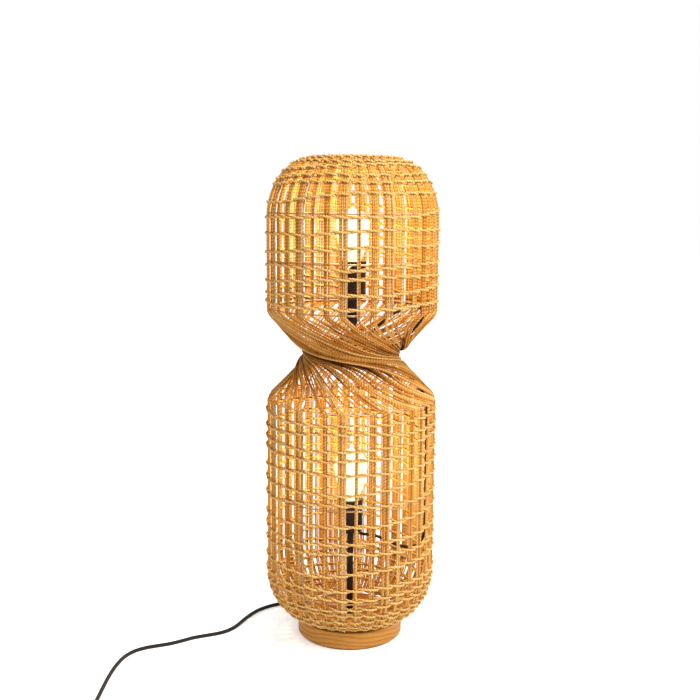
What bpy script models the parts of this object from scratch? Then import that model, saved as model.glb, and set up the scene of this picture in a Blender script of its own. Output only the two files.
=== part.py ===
"""A woven rope floor lamp: two drums joined by a twisted waist, on a round wooden base, with a holder and a
bulb in each drum and a mains cord. The frame is +Z up, with its origin under the middle of the base."""

import math

import bmesh
import bpy
from mathutils import Matrix, Vector

# ---- driving dimensions, in metres ------------------------------------------------------------------------
GAP = 0.0003                 # between pieces that touch
FRONT = math.radians(-90)    # the front of the lamp faces -Y

BASE_RADIUS = 0.095
BASE_TOP = 0.032
FELT_THICKNESS = 0.002
RECESS_RADIUS = 0.018        # the round recess under the base, for the nut
RECESS_TOP = 0.020
SCREW_CIRCLE = 0.0908        # the radius that the four screws stand on

DRUM_RADIUS = 0.153
SKIN = 0.0035                # the woven skin's thickness
SKIN_STEPS = 36              # flat sides round a skin
SKIN_SPLIT = 0.0006          # between one length of skin and the next
UPPER_SHOULDER = 0.597       # where the upper drum meets the twisted waist
LOWER_SHOULDER = 0.437
WAIST_HEIGHT = 0.516
WAIST_RADIUS = 0.0915
WAIST_SLOPE = 0.9            # how fast the waist widens, away from its middle
WAIST_ROUND = 0.008          # how long its rounded middle is
DOME_FOOT, DOME_RISE, DOME_RIM = 0.755, 0.107, 0.076
BOWL_TOP, BOWL_DROP, BOWL_RIM = 0.130, 0.092, 0.090

WIRE = 0.0015                # half the thickness of the frame's wire
RIBS = 12
RIB_PHASE = FRONT - math.radians(3.6)
RIB_INSET = SKIN + GAP + WIRE
RING_INSET = RIB_INSET + 0.002
CURVE_INSET = 0.001          # more, where the skin's flat facets cut across its curve
RING_STEPS = 24
UPPER_RINGS = (0.600, 0.683, 0.765)
LOWER_RINGS = (0.105, 0.270, LOWER_SHOULDER)
FOOT_RING_RADIUS, FOOT_RING_HEIGHT = 0.0870, 0.0337
TOP_RING_RADIUS, TOP_RING_HEIGHT = 0.0790, 0.8550

POLE_RADIUS = 0.0057
ROD_RADIUS = 0.0049
ROD_BORE = 0.0031
HOLE_RADIUS = 0.0053         # what the rod passes through
HOLDER_FOOT = 0.188          # the underside of the lower holder
HOLDER_STEP = 0.4315         # from the lower holder up to the upper one
BULB_TIP = 0.0358            # above its holder's underside
HOLDER_RISE = 0.0625         # how high a holder's shell rises above its underside

LINK_RADIUS = 0.0028
CORD_RADIUS = 0.00325
CORD_ANGLE = math.radians(125)   # where the mains cord leaves the base
COIL_CENTRE = (-0.3605, -0.4400)
COIL_RADIUS = 0.038          # to the middle of its turns
COIL_HALF = 0.0069           # half the width of its bundle
COIL_LOW, COIL_HIGH = 0.0014, 0.0148

SWITCH_CENTRE = (-0.3985, -0.3540)
SWITCH_WIDTH, SWITCH_LENGTH = 0.026, 0.064
SWITCH_PART, SWITCH_TOP = 0.0085, 0.0172      # the joint between the shells, and the top
SWITCH_SCREW_REACH = 0.0225  # from the switch's middle to each screw
PIVOT_HEIGHT = 0.0140
ROCKER_HALF, ROCKER_RADIUS = 0.0046, 0.0088
ROCKER_RISE = 0.0028         # from the pivot up to the middle of the rocker's top
ROCKER_TILT = math.radians(12)

PLUG_CENTRE = (-0.2730, -0.4790)
PLUG_LOW, PLUG_HIGH = 0.0004, 0.0144
PIN_SPREAD = 0.0095          # from the plug's middle to each pin

# ---- materials --------------------------------------------------------------------------------------------
FINISHES = {
    "rope": ((0.62, 0.40, 0.18), 0.8, 0.0),
    "wire": ((0.62, 0.52, 0.40), 0.5, 0.0),
    "wood": ((0.70, 0.45, 0.22), 0.5, 0.0),
    "felt": ((0.03, 0.02, 0.02), 0.95, 0.0),
    "black_metal": ((0.02, 0.015, 0.012), 0.45, 0.0),
    "black_plastic": ((0.03, 0.02, 0.015), 0.4, 0.0),
    "steel": ((0.55, 0.55, 0.55), 0.35, 1.0),
    "brass": ((0.75, 0.58, 0.30), 0.35, 1.0),
    "ceramic": ((0.85, 0.83, 0.78), 0.5, 0.0),
    "lamp_glass": ((1.0, 0.93, 0.75), 0.3, 0.0),
    "cord": ((0.05, 0.035, 0.025), 0.8, 0.0),
}


def clear_scene():
    for old in list(bpy.data.objects):
        bpy.data.objects.remove(old)


def finish_named(name):
    """The Principled material of this name, made the first time that it is asked for."""
    found = bpy.data.materials.get(name)
    if found:
        return found
    colour, roughness, metallic = FINISHES[name]
    made = bpy.data.materials.new(name)
    made.use_nodes = True
    shader = made.node_tree.nodes["Principled BSDF"]
    shader.inputs["Base Color"].default_value = (*colour, 1)
    shader.inputs["Roughness"].default_value = roughness
    shader.inputs["Metallic"].default_value = metallic
    return made


# ---- shapes -----------------------------------------------------------------------------------------------
def placed(name, mesh, finish, parent=None):
    """An object of this mesh, shaded smooth but for its sharp edges."""
    mesh.materials.append(finish_named(finish))
    mesh.shade_smooth()
    mesh.set_sharp_from_angle(angle=math.radians(35))
    made = bpy.data.objects.new(name, mesh)
    bpy.context.scene.collection.objects.link(made)
    made.parent = parent
    return made


def mesh_from(bm, name):
    """The mesh of a finished bmesh, cleaned, with its faces turned outwards."""
    bmesh.ops.remove_doubles(bm, verts=bm.verts, dist=1e-6)
    bmesh.ops.dissolve_degenerate(bm, edges=bm.edges, dist=1e-7)
    bmesh.ops.recalc_face_normals(bm, faces=bm.faces)
    mesh = bpy.data.meshes.new(name)
    bm.to_mesh(mesh)
    bm.free()
    return mesh


def turned(name, outline, finish, steps=24, phase=0.0, at=(0, 0, 0), parent=None):
    """A solid of revolution about +Z. The outline is (radius, height) points. It closes on itself, unless it
    starts and ends on the axis."""
    bm = bmesh.new()
    points = [bm.verts.new((r * math.cos(phase), r * math.sin(phase), z)) for r, z in outline]
    pairs = list(zip(points, points[1:]))
    if outline[0][0] > 0 or outline[-1][0] > 0:
        pairs.append((points[-1], points[0]))
    edges = [bm.edges.new(pair) for pair in pairs]
    bmesh.ops.spin(bm, geom=points + edges, cent=(0, 0, 0), axis=(0, 0, 1), angle=math.tau,
                   steps=steps, use_merge=True)
    made = placed(name, mesh_from(bm, name), finish, parent)
    made.location = at
    return made


def pipe(name, outer, inner, low, high, finish, steps=24):
    """A plain tube standing on end."""
    return turned(name, [(inner, high), (outer, high), (outer, low), (inner, low)], finish, steps)


def hexagon_nut(name, low, high):
    """A nut whose bore clears the rod at its flats."""
    bore = HOLE_RADIUS / math.cos(math.radians(30))
    turned(name, [(bore, high), (0.0085, high), (0.0085, low), (bore, low)], "steel", 6)


def prism(name, outline, low, high, finish, parent=None):
    """An outline of (x, y) points, extruded upwards from low to high."""
    bm = bmesh.new()
    face = bm.faces.new([bm.verts.new((x, y, low)) for x, y in outline])
    top = bmesh.ops.extrude_face_region(bm, geom=[face])["geom"]
    raised = [v for v in top if isinstance(v, bmesh.types.BMVert)]
    bmesh.ops.translate(bm, verts=raised, vec=(0, 0, high - low))
    return placed(name, mesh_from(bm, name), finish, parent)


def rounded_rectangle(width, length, corner, steps=3):
    """Points round a rectangle with quarter-circle corners, centred on the origin."""
    points = []
    for quarter in range(4):
        x = (width / 2 - corner) * (1 if quarter in (0, 3) else -1)
        y = (length / 2 - corner) * (1 if quarter in (0, 1) else -1)
        for step in range(steps + 1):
            angle = math.radians(90) * (quarter + step / steps)
            points.append((x + corner * math.cos(angle), y + corner * math.sin(angle)))
    return points


def wire_mesh(name, path, closed=False, radius=WIRE):
    """A wire of square section along a path."""
    bm = bmesh.new()
    count = len(path)
    rows = []
    for i, point in enumerate(path):
        before = path[i - 1] if closed or i else path[0]
        after = path[(i + 1) % count] if closed or i + 1 < count else path[-1]
        along = (Vector(after) - Vector(before)).normalized()
        outward = Vector((point[0], point[1], 0)).normalized()
        side = along.cross(outward).normalized()
        outward = side.cross(along)
        corners = (outward, side, -outward, -side)
        rows.append([bm.verts.new(Vector(point) + corner * radius) for corner in corners])
    for i in range(count if closed else count - 1):
        one, other = rows[i], rows[(i + 1) % count]
        for k in range(4):
            bm.faces.new((one[k], one[(k + 1) % 4], other[(k + 1) % 4], other[k]))
    if not closed:
        bm.faces.new(rows[0])
        bm.faces.new(rows[-1])
    return mesh_from(bm, name)


def weld_piece(name, path, collection, closed=False):
    """A wire that only serves to be joined to another."""
    as_helper(bpy.data.objects.new(name, wire_mesh(name, path, closed)), collection)


def as_helper(made, collection):
    """Keeps an object out of the finished part. It only cuts or joins."""
    made.hide_render = True
    made.display_type = "WIRE"
    for old in list(made.users_collection):
        old.objects.unlink(made)
    collection.objects.link(made)


def boolean(target, operation, collection):
    """Joins or cuts the target with everything in the collection."""
    step = target.modifiers.new(operation.title(), "BOOLEAN")
    step.operation = operation
    step.operand_type = "COLLECTION"
    step.collection = collection
    step.solver = "EXACT"


def helpers_of(name):
    made = bpy.data.collections.new(name)
    bpy.context.scene.collection.children.link(made)
    return made


def box_cutter(size, centre, turn=0.0):
    bm = bmesh.new()
    bmesh.ops.create_cube(bm, size=1)
    bmesh.ops.scale(bm, verts=bm.verts, vec=size)
    mesh = mesh_from(bm, "box_cutter")
    mesh.transform(Matrix.Rotation(turn, 4, "Z") @ Matrix.Translation(centre))
    return bpy.data.objects.new("box_cutter", mesh)


def round_cutter(radius, depth, matrix, steps=16):
    bm = bmesh.new()
    bmesh.ops.create_cone(bm, cap_ends=True, segments=steps, radius1=radius, radius2=radius, depth=depth)
    mesh = mesh_from(bm, "round_cutter")
    mesh.transform(matrix)
    return bpy.data.objects.new("round_cutter", mesh)


# ---- the woven skins --------------------------------------------------------------------------------------
def waist_radius(height):
    rise = height - WAIST_HEIGHT
    return WAIST_RADIUS + WAIST_SLOPE * (math.hypot(rise, WAIST_ROUND) - WAIST_ROUND)


def dome_point(angle, inset=0.0):
    """On the dome at this angle above its foot, moved inwards by inset."""
    width = DRUM_RADIUS - DOME_RIM
    out = Vector((math.cos(angle) / width, math.sin(angle) / DOME_RISE)).normalized()
    return (DOME_RIM + width * math.cos(angle) - inset * out.x,
            DOME_FOOT + DOME_RISE * math.sin(angle) - inset * out.y)


def bowl_point(angle, inset=0.0):
    """On the bowl at this angle below its top, moved inwards by inset."""
    width = DRUM_RADIUS - BOWL_RIM
    out = Vector((math.cos(angle) / width, math.sin(angle) / BOWL_DROP)).normalized()
    return (BOWL_RIM + width * math.cos(angle) - inset * out.x,
            BOWL_TOP - BOWL_DROP * math.sin(angle) + inset * out.y)


def quarter(steps, start=0.0, end=90.0):
    return [math.radians(start + (end - start) * i / steps) for i in range(steps + 1)]


def skin(name, outer, inner):
    return turned(name, list(outer) + list(reversed(inner)), "rope", SKIN_STEPS, RIB_PHASE)


def drum_skin(name, low, high):
    inside = DRUM_RADIUS - SKIN
    return skin(name, [(DRUM_RADIUS, high), (DRUM_RADIUS, low)], [(inside, high), (inside, low)])


def waist_skin(name, top, bottom, steps=5):
    heights = [top + (bottom - top) * i / steps for i in range(steps + 1)]
    outer = [(min(waist_radius(z), DRUM_RADIUS), z) for z in heights]
    skin(name, outer, [(r - SKIN, z) for r, z in outer])


def make_skins():
    dome = [dome_point(a) for a in quarter(6)]
    dome_inside = [dome_point(a, SKIN) for a in quarter(6)]
    skin("upper_weave_dome", dome, dome_inside)
    drum_skin("upper_weave_drum", UPPER_SHOULDER + SKIN_SPLIT, DOME_FOOT - SKIN_SPLIT)
    waist_skin("waist_strings_top", UPPER_SHOULDER, WAIST_HEIGHT + SKIN_SPLIT / 2)
    waist_skin("waist_strings_bottom", WAIST_HEIGHT - SKIN_SPLIT / 2, LOWER_SHOULDER)
    drum_skin("lower_weave_drum", BOWL_TOP + SKIN_SPLIT, LOWER_SHOULDER - SKIN_SPLIT)
    bowl = [bowl_point(a) for a in quarter(6)]
    bowl_inside = [bowl_point(a, SKIN) for a in quarter(6)]
    skin("lower_weave_bowl", bowl, bowl_inside)


# ---- the welded wire frames -------------------------------------------------------------------------------
def ring_path(radius, height):
    angles = [RIB_PHASE + math.tau * i / RING_STEPS for i in range(RING_STEPS)]
    return [(radius * math.cos(a), radius * math.sin(a), height) for a in angles]


def frame(name, rings, rib):
    """Rings of (radius, height) and twelve ribs of one (radius, height) outline, welded into one piece."""
    joined = placed(name, wire_mesh(name, ring_path(*rings[0]), closed=True), "wire")
    helpers = helpers_of(name + "_pieces")
    for radius, height in rings[1:]:
        weld_piece("ring", ring_path(radius, height), helpers, closed=True)
    for i in range(RIBS):
        angle = RIB_PHASE + math.tau * i / RIBS
        path = [(r * math.cos(angle), r * math.sin(angle), z) for r, z in rib]
        weld_piece("rib", path, helpers)
    boolean(joined, "UNION", helpers)


def make_frames():
    rib_radius, ring_radius = DRUM_RADIUS - RIB_INSET, DRUM_RADIUS - RING_INSET
    dome_rib = [dome_point(a, RIB_INSET + CURVE_INSET) for a in quarter(4, 18, 82)]
    rib = [(rib_radius, UPPER_RINGS[0]), (rib_radius, DOME_FOOT)] + dome_rib
    rings = [(ring_radius, z) for z in UPPER_RINGS[:2]]
    angle = math.asin((UPPER_RINGS[2] - DOME_FOOT) / DOME_RISE)
    rings.append((dome_point(angle, RING_INSET)[0], UPPER_RINGS[2]))
    rings.append((TOP_RING_RADIUS, TOP_RING_HEIGHT))
    frame("upper_frame", rings, rib + [(TOP_RING_RADIUS, TOP_RING_HEIGHT)])

    bowl_rib = [bowl_point(a, RIB_INSET + CURVE_INSET) for a in quarter(4, 18, 88)]
    rib = [(rib_radius, LOWER_SHOULDER), (rib_radius, BOWL_TOP)] + bowl_rib
    rings = [(ring_radius, z) for z in LOWER_RINGS[1:]]
    angle = math.asin((BOWL_TOP - LOWER_RINGS[0]) / BOWL_DROP)
    rings.append((bowl_point(angle, RING_INSET + CURVE_INSET)[0], LOWER_RINGS[0]))
    rings.append((FOOT_RING_RADIUS, FOOT_RING_HEIGHT))
    foot = [(FOOT_RING_RADIUS + 0.0004, 0.0420), (FOOT_RING_RADIUS, FOOT_RING_HEIGHT)]
    frame("lower_frame", rings, rib + foot)


def make_spider():
    """The plate with three arms that carries the upper holder. Its arms reach three of the upper ribs."""
    low, high = 0.6745, 0.6760
    plate = pipe("holder_spider", 0.0268, 0.0204, low, high, "wire", 24)
    helpers = helpers_of("spider_arms")
    reach = DRUM_RADIUS - RIB_INSET - WIRE - GAP
    for i in range(3):
        angle = RIB_PHASE + math.tau * i / 3
        along = (math.cos(angle), math.sin(angle))
        path = [(r * along[0], r * along[1], (low + high) / 2) for r in (0.0253, reach)]
        weld_piece("arm", path, helpers)
    boolean(plate, "UNION", helpers)


# ---- the base ---------------------------------------------------------------------------------------------
def screw_angles():
    return [FRONT - math.radians(5.6) + math.tau * i / 4 for i in range(4)]


def make_base():
    turned("base_felt", [(0, FELT_THICKNESS), (0.0915, FELT_THICKNESS), (0.0915, 0), (0, 0)], "felt", 36)
    under = FELT_THICKNESS + GAP
    outline = [(HOLE_RADIUS, BASE_TOP), (0.0925, BASE_TOP), (0.0943, 0.0312), (BASE_RADIUS, 0.0293),
               (BASE_RADIUS, 0.0045), (0.0943, 0.0029), (0.0930, under),
               (RECESS_RADIUS, under), (RECESS_RADIUS, RECESS_TOP), (HOLE_RADIUS, RECESS_TOP)]
    base = turned("base_disc", outline, "wood", 36)
    cutters = helpers_of("base_cutters")
    as_helper(box_cutter((0.100, 0.0115, 0.0120), (0.060, 0, 0.0072), CORD_ANGLE), cutters)
    for angle in screw_angles():
        at = Matrix.Translation((SCREW_CIRCLE * math.cos(angle), SCREW_CIRCLE * math.sin(angle), 0.0290))
        as_helper(round_cutter(0.0017, 0.0120, at, 8), cutters)
    boolean(base, "DIFFERENCE", cutters)
    for number, angle in enumerate(screw_angles(), 1):
        at = (SCREW_CIRCLE * math.cos(angle), SCREW_CIRCLE * math.sin(angle), 0)
        shape = [(0, 0.0374), (0.0020, 0.0371), (0.0031, 0.0358), (0.0031, 0.0355), (0.0013, 0.0355),
                 (0.0013, 0.0250), (0, 0.0235)]
        turned(f"base_screw_{number}", shape, "steel", 12, at=at)


def make_pole():
    pipe("threaded_rod", ROD_RADIUS, ROD_BORE, 0.0125, 0.1985, "steel", 16)
    pipe("base_washer", 0.0120, HOLE_RADIUS, 0.0185, RECESS_TOP - GAP, "steel", 16)
    hexagon_nut("base_nut", 0.0135, 0.0182)
    shape = [(HOLE_RADIUS, 0.0383), (0.0070, 0.0383), (0.0085, 0.0368), (0.0085, BASE_TOP + GAP),
             (HOLE_RADIUS, BASE_TOP + GAP)]
    turned("pole_collar", shape, "black_metal", 20)
    pipe("pole_tube", POLE_RADIUS, 0.0052, 0.0386, HOLDER_FOOT - GAP, "black_metal", 20)


def make_feed_lead():
    """The lead inside the base and the pole: along the groove, then up the rod's bore."""
    flat, bend = 0.0055, 0.0070
    along = (math.cos(CORD_ANGLE), math.sin(CORD_ANGLE))
    turn = [(bend * (1 - math.sin(a)), flat + bend * (1 - math.cos(a))) for a in quarter(4)]
    heights = [0.05, 0.10, 0.15, 0.1990]
    route = [(r, flat + 0.0015 * (r > 0.06)) for r in (0.0722, 0.0550, 0.0300)] + turn
    points = [(r * along[0], r * along[1], z) for r, z in route] + [(0, 0, z) for z in heights]
    cord_tube("feed_lead", points, 0.0025, resolution=1)


# ---- holders and bulbs ------------------------------------------------------------------------------------
def make_lower_holder():
    foot = HOLDER_FOOT
    cup = [(HOLE_RADIUS, foot + 0.0035), (0.0195, foot + 0.0035), (0.0195, foot + 0.0195),
           (0.0226, foot + 0.0195), (0.0226, foot + 0.0075), (0.0205, foot + 0.0020), (0.0170, foot),
           (HOLE_RADIUS, foot)]
    turned("lower_holder_cap", list(reversed(cup)), "black_plastic")
    hexagon_nut("holder_nut", foot + 0.0038, foot + 0.0085)
    shell = [(0.0170, foot + HOLDER_RISE), (0.0216, foot + HOLDER_RISE), (0.0226, foot + 0.0610),
             (0.0226, foot + 0.0198), (0.0195, foot + 0.0198), (0.0195, foot + 0.0340), (0.0170, foot + 0.0340)]
    turned("lower_holder_shell", shell, "black_plastic")
    holder_inside("lower", 0)


def make_upper_holder():
    foot = HOLDER_FOOT + HOLDER_STEP
    shell = [(0.0170, foot + HOLDER_RISE), (0.0200, foot + HOLDER_RISE), (0.0200, 0.6742), (0.0235, 0.6742),
             (0.0235, foot + 0.0010), (0.0195, foot + 0.0010), (0.0195, foot + 0.0340),
             (0.0170, foot + 0.0340)]
    turned("upper_holder_shell", shell, "black_plastic")
    pipe("upper_shade_ring", 0.0245, 0.0203, 0.6763, 0.6818, "black_plastic", 24)
    sleeve = [(0, foot + 0.0070), (0.0190, foot + 0.0070), (0.0190, foot + 0.0006), (0.0235, foot + 0.0006),
              (0.0228, foot - 0.0030), (0.0102, foot - 0.0060), (0.0100, foot - 0.0470),
              (0.0045, foot - 0.0565), (0, foot - 0.0565)]
    turned("upper_holder_sleeve", sleeve, "black_plastic")
    holder_inside("upper", HOLDER_STEP)


def holder_inside(which, up):
    """The insulating core, the contact in its middle and the screw shell that takes the bulb's cap."""
    foot = HOLDER_FOOT + up
    core = [(0, foot + 0.0335), (0.0192, foot + 0.0335), (0.0192, foot + 0.0201), (0, foot + 0.0201)]
    turned(f"{which}_holder_core", core, "ceramic", 20)
    contact = [(0, foot + 0.0355), (0.0030, foot + 0.0355), (0.0040, foot + 0.0338), (0, foot + 0.0338)]
    turned(f"{which}_centre_contact", contact, "brass", 12)
    pipe(f"{which}_screw_shell", 0.0166, 0.0137, foot + 0.0348, foot + 0.0590, "brass", 24)


def make_bulb(which, up):
    """The bulb's tip, insulator, screw cap and envelope, on the holder's axis."""
    tip = HOLDER_FOOT + up + BULB_TIP
    point = [(0, tip + 0.0017), (0.0045, tip + 0.0017), (0.0035, tip), (0, tip)]
    turned(f"{which}_bulb_tip", point, "brass", 16)
    insulator = [(0, tip + 0.0047), (0.0095, tip + 0.0047), (0.0050, tip + 0.0020), (0, tip + 0.0020)]
    turned(f"{which}_bulb_insulator", insulator, "black_plastic", 16)
    cap = [(0, tip + 0.0245), (0.0125, tip + 0.0245), (0.0131, tip + 0.0225), (0.0131, tip + 0.0080),
           (0.0100, tip + 0.0050), (0, tip + 0.0050)]
    turned(f"{which}_bulb_cap", cap, "brass", 24)
    neck, middle, wide = tip + 0.0248, tip + 0.0880, 0.0300
    ball = [(wide * math.cos(a), middle + wide * math.sin(a)) for a in reversed(quarter(5))]
    side = [(wide - 0.0160 * ((middle - z) / (middle - neck)) ** 1.7, z)
            for z in (neck + (middle - neck) * share for share in (0.8, 0.6, 0.4, 0.2, 0.06))]
    turned(f"{which}_bulb_glass", [(0, middle + wide)] + ball[1:] + side + [(0.0118, neck), (0, neck)],
           "lamp_glass", 24)


# ---- cords ------------------------------------------------------------------------------------------------
LINK_ROUTE = [
    (0.0000, 0, 0.5612), (0.0015, 0, 0.5560), (0.0060, 0, 0.5490), (0.0130, 0, 0.5450), (0.0220, 0, 0.5455),
    (0.0320, 0, 0.5510), (0.0430, 0, 0.5630), (0.0530, 0, 0.5730), (0.0660, 0, 0.5840),
    (0.0800, 0, 0.5930), (0.0940, 0, 0.5995), (0.1070, 0, 0.6030), (0.1180, 0, 0.6015), (0.1250, 0, 0.5955),
    (0.1262, 0, 0.5870), (0.1215, 0, 0.5765), (0.1125, 0, 0.5650), (0.0990, 0, 0.5500), (0.0860, 0, 0.5350),
    (0.0788, 0, 0.5210), (0.0788, 0, 0.5090), (0.0868, 0, 0.4960), (0.1005, 0, 0.4800), (0.1145, 0, 0.4640),
    (0.1270, 0, 0.4490), (0.1340, 0, 0.4350), (0.1360, 0, 0.4150), (0.1362, 0, 0.3800), (0.1362, 0, 0.3300),
    (0.1362, 0, 0.2800), (0.1362, 0, 0.2300), (0.1358, 0, 0.1950), (0.1330, 0, 0.1780), (0.1260, 0, 0.1655),
    (0.1150, 0, 0.1595), (0.1000, 0, 0.1590), (0.0820, 0, 0.1645), (0.0640, 0, 0.1725), (0.0480, 0, 0.1790),
    (0.0340, 0, 0.1815), (0.0240, 0, 0.1825), (0.0165, 0, 0.1848),
]
CORD_ROUTE = [
    (-0.0696, 0.0994, 0.0072), (-0.0770, 0.1080, 0.0055), (-0.0865, 0.1140, 0.0038),
    (-0.0975, 0.1160, 0.0034), (-0.1090, 0.1145, 0.0034), (-0.1210, 0.1105, 0.0034),
    (-0.1340, 0.1050, 0.0034), (-0.1490, 0.0970, 0.0034), (-0.1646, 0.0850, 0.0034),
    (-0.1814, 0.0645, 0.0034), (-0.1965, 0.0340, 0.0034), (-0.2095, 0.0010, 0.0034),
    (-0.2210, -0.0180, 0.0034), (-0.2360, -0.0315, 0.0034), (-0.2580, -0.0420, 0.0034),
    (-0.2820, -0.0530, 0.0034), (-0.3010, -0.0665, 0.0034), (-0.3200, -0.0785, 0.0034),
    (-0.3400, -0.0870, 0.0034), (-0.3600, -0.0960, 0.0034), (-0.3770, -0.1100, 0.0034),
    (-0.3890, -0.1320, 0.0034), (-0.3955, -0.1620, 0.0034), (-0.3985, -0.2000, 0.0034),
    (-0.3990, -0.2450, 0.0034), (-0.3985, -0.2900, 0.0036), (-0.3985, -0.3060, 0.0052),
    (-0.3985, -0.3212, 0.0085),
]
COIL_LEAD_ROUTE = [
    (-0.3985, -0.3868, 0.0085), (-0.3986, -0.3950, 0.0070), (-0.3987, -0.4030, 0.0054),
    (-0.3990, -0.4105, 0.0050),
]
TAIL_ROUTE = [
    (-0.3315, -0.4805, 0.0118), (-0.3210, -0.4800, 0.0098), (-0.3090, -0.4793, 0.0084),
    (-0.2990, -0.4790, 0.0077), (-0.2903, -0.4790, 0.0074),
]


def smooth_route(points, spacing):
    """Points a given distance apart along a smooth curve through the route's own points."""
    ends = [Vector(p) for p in points]
    ends = [2 * ends[0] - ends[1]] + ends + [2 * ends[-1] - ends[-2]]
    fine = []
    for a, b, c, d in zip(ends, ends[1:], ends[2:], ends[3:]):
        for i in range(12):
            t = i / 12
            fine.append(0.5 * (2 * b + (c - a) * t + (2 * a - 5 * b + 4 * c - d) * t ** 2
                               + (3 * b - a - 3 * c + d) * t ** 3))
    fine.append(ends[-2])
    total = sum((b - a).length for a, b in zip(fine, fine[1:]))
    step = total / max(1, round(total / spacing))
    spaced, run, target = [fine[0]], 0.0, step
    for a, b in zip(fine, fine[1:]):
        long = (b - a).length
        while run + long >= target - 1e-9 and target < total - step / 2:
            spaced.append(a.lerp(b, (target - run) / long))
            target += step
        run += long
    return spaced + [fine[-1]]


def cord_tube(name, points, radius, resolution=2):
    """A round cord along the points, with flat ends."""
    curve = bpy.data.curves.new(name, "CURVE")
    curve.dimensions = "3D"
    curve.bevel_depth = radius
    curve.bevel_resolution = resolution
    curve.use_fill_caps = True
    line = curve.splines.new("POLY")
    line.points.add(len(points) - 1)
    for place, point in zip(line.points, points):
        place.co = (*point, 1)
    curve.materials.append(finish_named("cord"))
    made = bpy.data.objects.new(name, curve)
    bpy.context.scene.collection.objects.link(made)


def make_link_cable():
    cord_tube("link_cable", smooth_route(LINK_ROUTE, 0.013), LINK_RADIUS)


def make_gland():
    """The tapered strain relief in the base's groove, lying along the cord."""
    shape = [(0, 0.0475), (0.0036, 0.0475), (0.0047, 0.0200), (0.0052, 0.0180), (0.0052, 0), (0, 0)]
    gland = turned("cord_gland", shape, "black_plastic", 16)
    out = Matrix.Rotation(CORD_ANGLE, 4, "Z") @ Matrix.Translation((0.0727, 0, 0.0077))
    gland.matrix_world = out @ Matrix.Rotation(math.radians(90), 4, "Y")


def make_mains_cord():
    cord_tube("mains_cord", smooth_route(CORD_ROUTE, 0.0155), CORD_RADIUS)
    cord_tube("cord_to_coil", smooth_route(COIL_LEAD_ROUTE, 0.010), CORD_RADIUS)
    cord_tube("cord_tail", smooth_route(TAIL_ROUTE, 0.011), CORD_RADIUS)
    inner, outer, low, high = COIL_RADIUS - COIL_HALF, COIL_RADIUS + COIL_HALF, COIL_LOW, COIL_HIGH
    corner = 0.0030
    ring = [(outer - corner, high), (outer, high - corner), (outer, low + corner), (outer - corner, low),
            (inner + corner, low), (inner, low + corner), (inner, high - corner), (inner + corner, high)]
    turned("cord_coil", ring, "cord", 32, at=(*COIL_CENTRE, 0))


def make_coil_tie():
    """A flat strap round the coil's bundle, where the coil is furthest to the right."""
    inner, outer = COIL_RADIUS - COIL_HALF - 0.0011, COIL_RADIUS + COIL_HALF + 0.0004
    thick, half, low, high = 0.0009, 0.0045, 0.0001, 0.0152
    bm = bmesh.new()
    hole = [(inner, 0.0010), (outer, 0.0010), (outer, high), (inner, high)]
    left, right, top = inner - thick, outer + thick, high + thick
    around = [(left, low), (right, low), (right, top), (left, top)]
    rows = [[bm.verts.new((x, y, z)) for x, z in loop] for loop in (around, hole) for y in (-half, half)]
    for k in range(4):
        n = (k + 1) % 4
        for one, other in ((0, 1), (1, 3), (3, 2), (2, 0)):
            bm.faces.new((rows[one][k], rows[one][n], rows[other][n], rows[other][k]))
    tie = placed("coil_tie", mesh_from(bm, "coil_tie"), "black_plastic")
    tie.location = (*COIL_CENTRE, 0)


# ---- the switch and the plug ------------------------------------------------------------------------------
def make_switch():
    centre = bpy.data.objects.new("switch_centre", None)
    bpy.context.scene.collection.objects.link(centre)
    centre.location = (*SWITCH_CENTRE, 0)
    outline = rounded_rectangle(SWITCH_WIDTH, SWITCH_LENGTH, 0.0080)
    lower = prism("switch_base", outline, 0.0004, SWITCH_PART - GAP, "black_plastic", centre)
    upper = prism("switch_cover", outline, SWITCH_PART, SWITCH_TOP, "black_plastic", centre)
    for shell, rim in ((lower, 0.0004), (upper, SWITCH_TOP)):
        soften_edges(shell, rim)
    pocket = helpers_of("switch_pocket")
    hollow = ROCKER_RADIUS + 0.0008
    as_helper(box_cutter((2 * (ROCKER_HALF + 0.0004), 2 * hollow, 0.0200), (0, 0, 0.0130)), pocket)
    across = Matrix.Translation((0, 0, PIVOT_HEIGHT)) @ Matrix.Rotation(math.radians(90), 4, "Y")
    as_helper(round_cutter(0.0014, 0.0170, across, 12), pocket)
    for end in (-1, 1):
        spot = Matrix.Translation((0, end * SWITCH_SCREW_REACH, 0.0130))
        as_helper(round_cutter(0.0017, 0.0170, spot, 10), pocket)
    for helper in pocket.objects:
        helper.parent = centre
    boolean(upper, "DIFFERENCE", pocket)
    below = helpers_of("switch_hollow")
    as_helper(box_cutter((2 * (ROCKER_HALF + 0.0004), 2 * hollow, 0.0060), (0, 0, 0.0070)), below)
    for helper in below.objects:
        helper.parent = centre
    boolean(lower, "DIFFERENCE", below)
    for number, end in enumerate((-1, 1), 1):
        shape = [(0, SWITCH_TOP - 0.0006), (0.0014, SWITCH_TOP - 0.0006), (0.0014, SWITCH_PART + 0.0002),
                 (0, SWITCH_PART + 0.0002)]
        spot = (0, end * SWITCH_SCREW_REACH, 0)
        turned(f"switch_screw_{number}", shape, "steel", 10, at=spot, parent=centre)
    make_rocker(centre)


def soften_edges(shell, height):
    """A small bevel round the shell's face at this height."""
    bm = bmesh.new()
    bm.from_mesh(shell.data)
    rim = [e for e in bm.edges if all(abs(v.co.z - height) < 1e-6 for v in e.verts)]
    bmesh.ops.bevel(bm, geom=rim, offset=0.0015, segments=1, affect="EDGES")
    bm.to_mesh(shell.data)
    bm.free()


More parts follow.
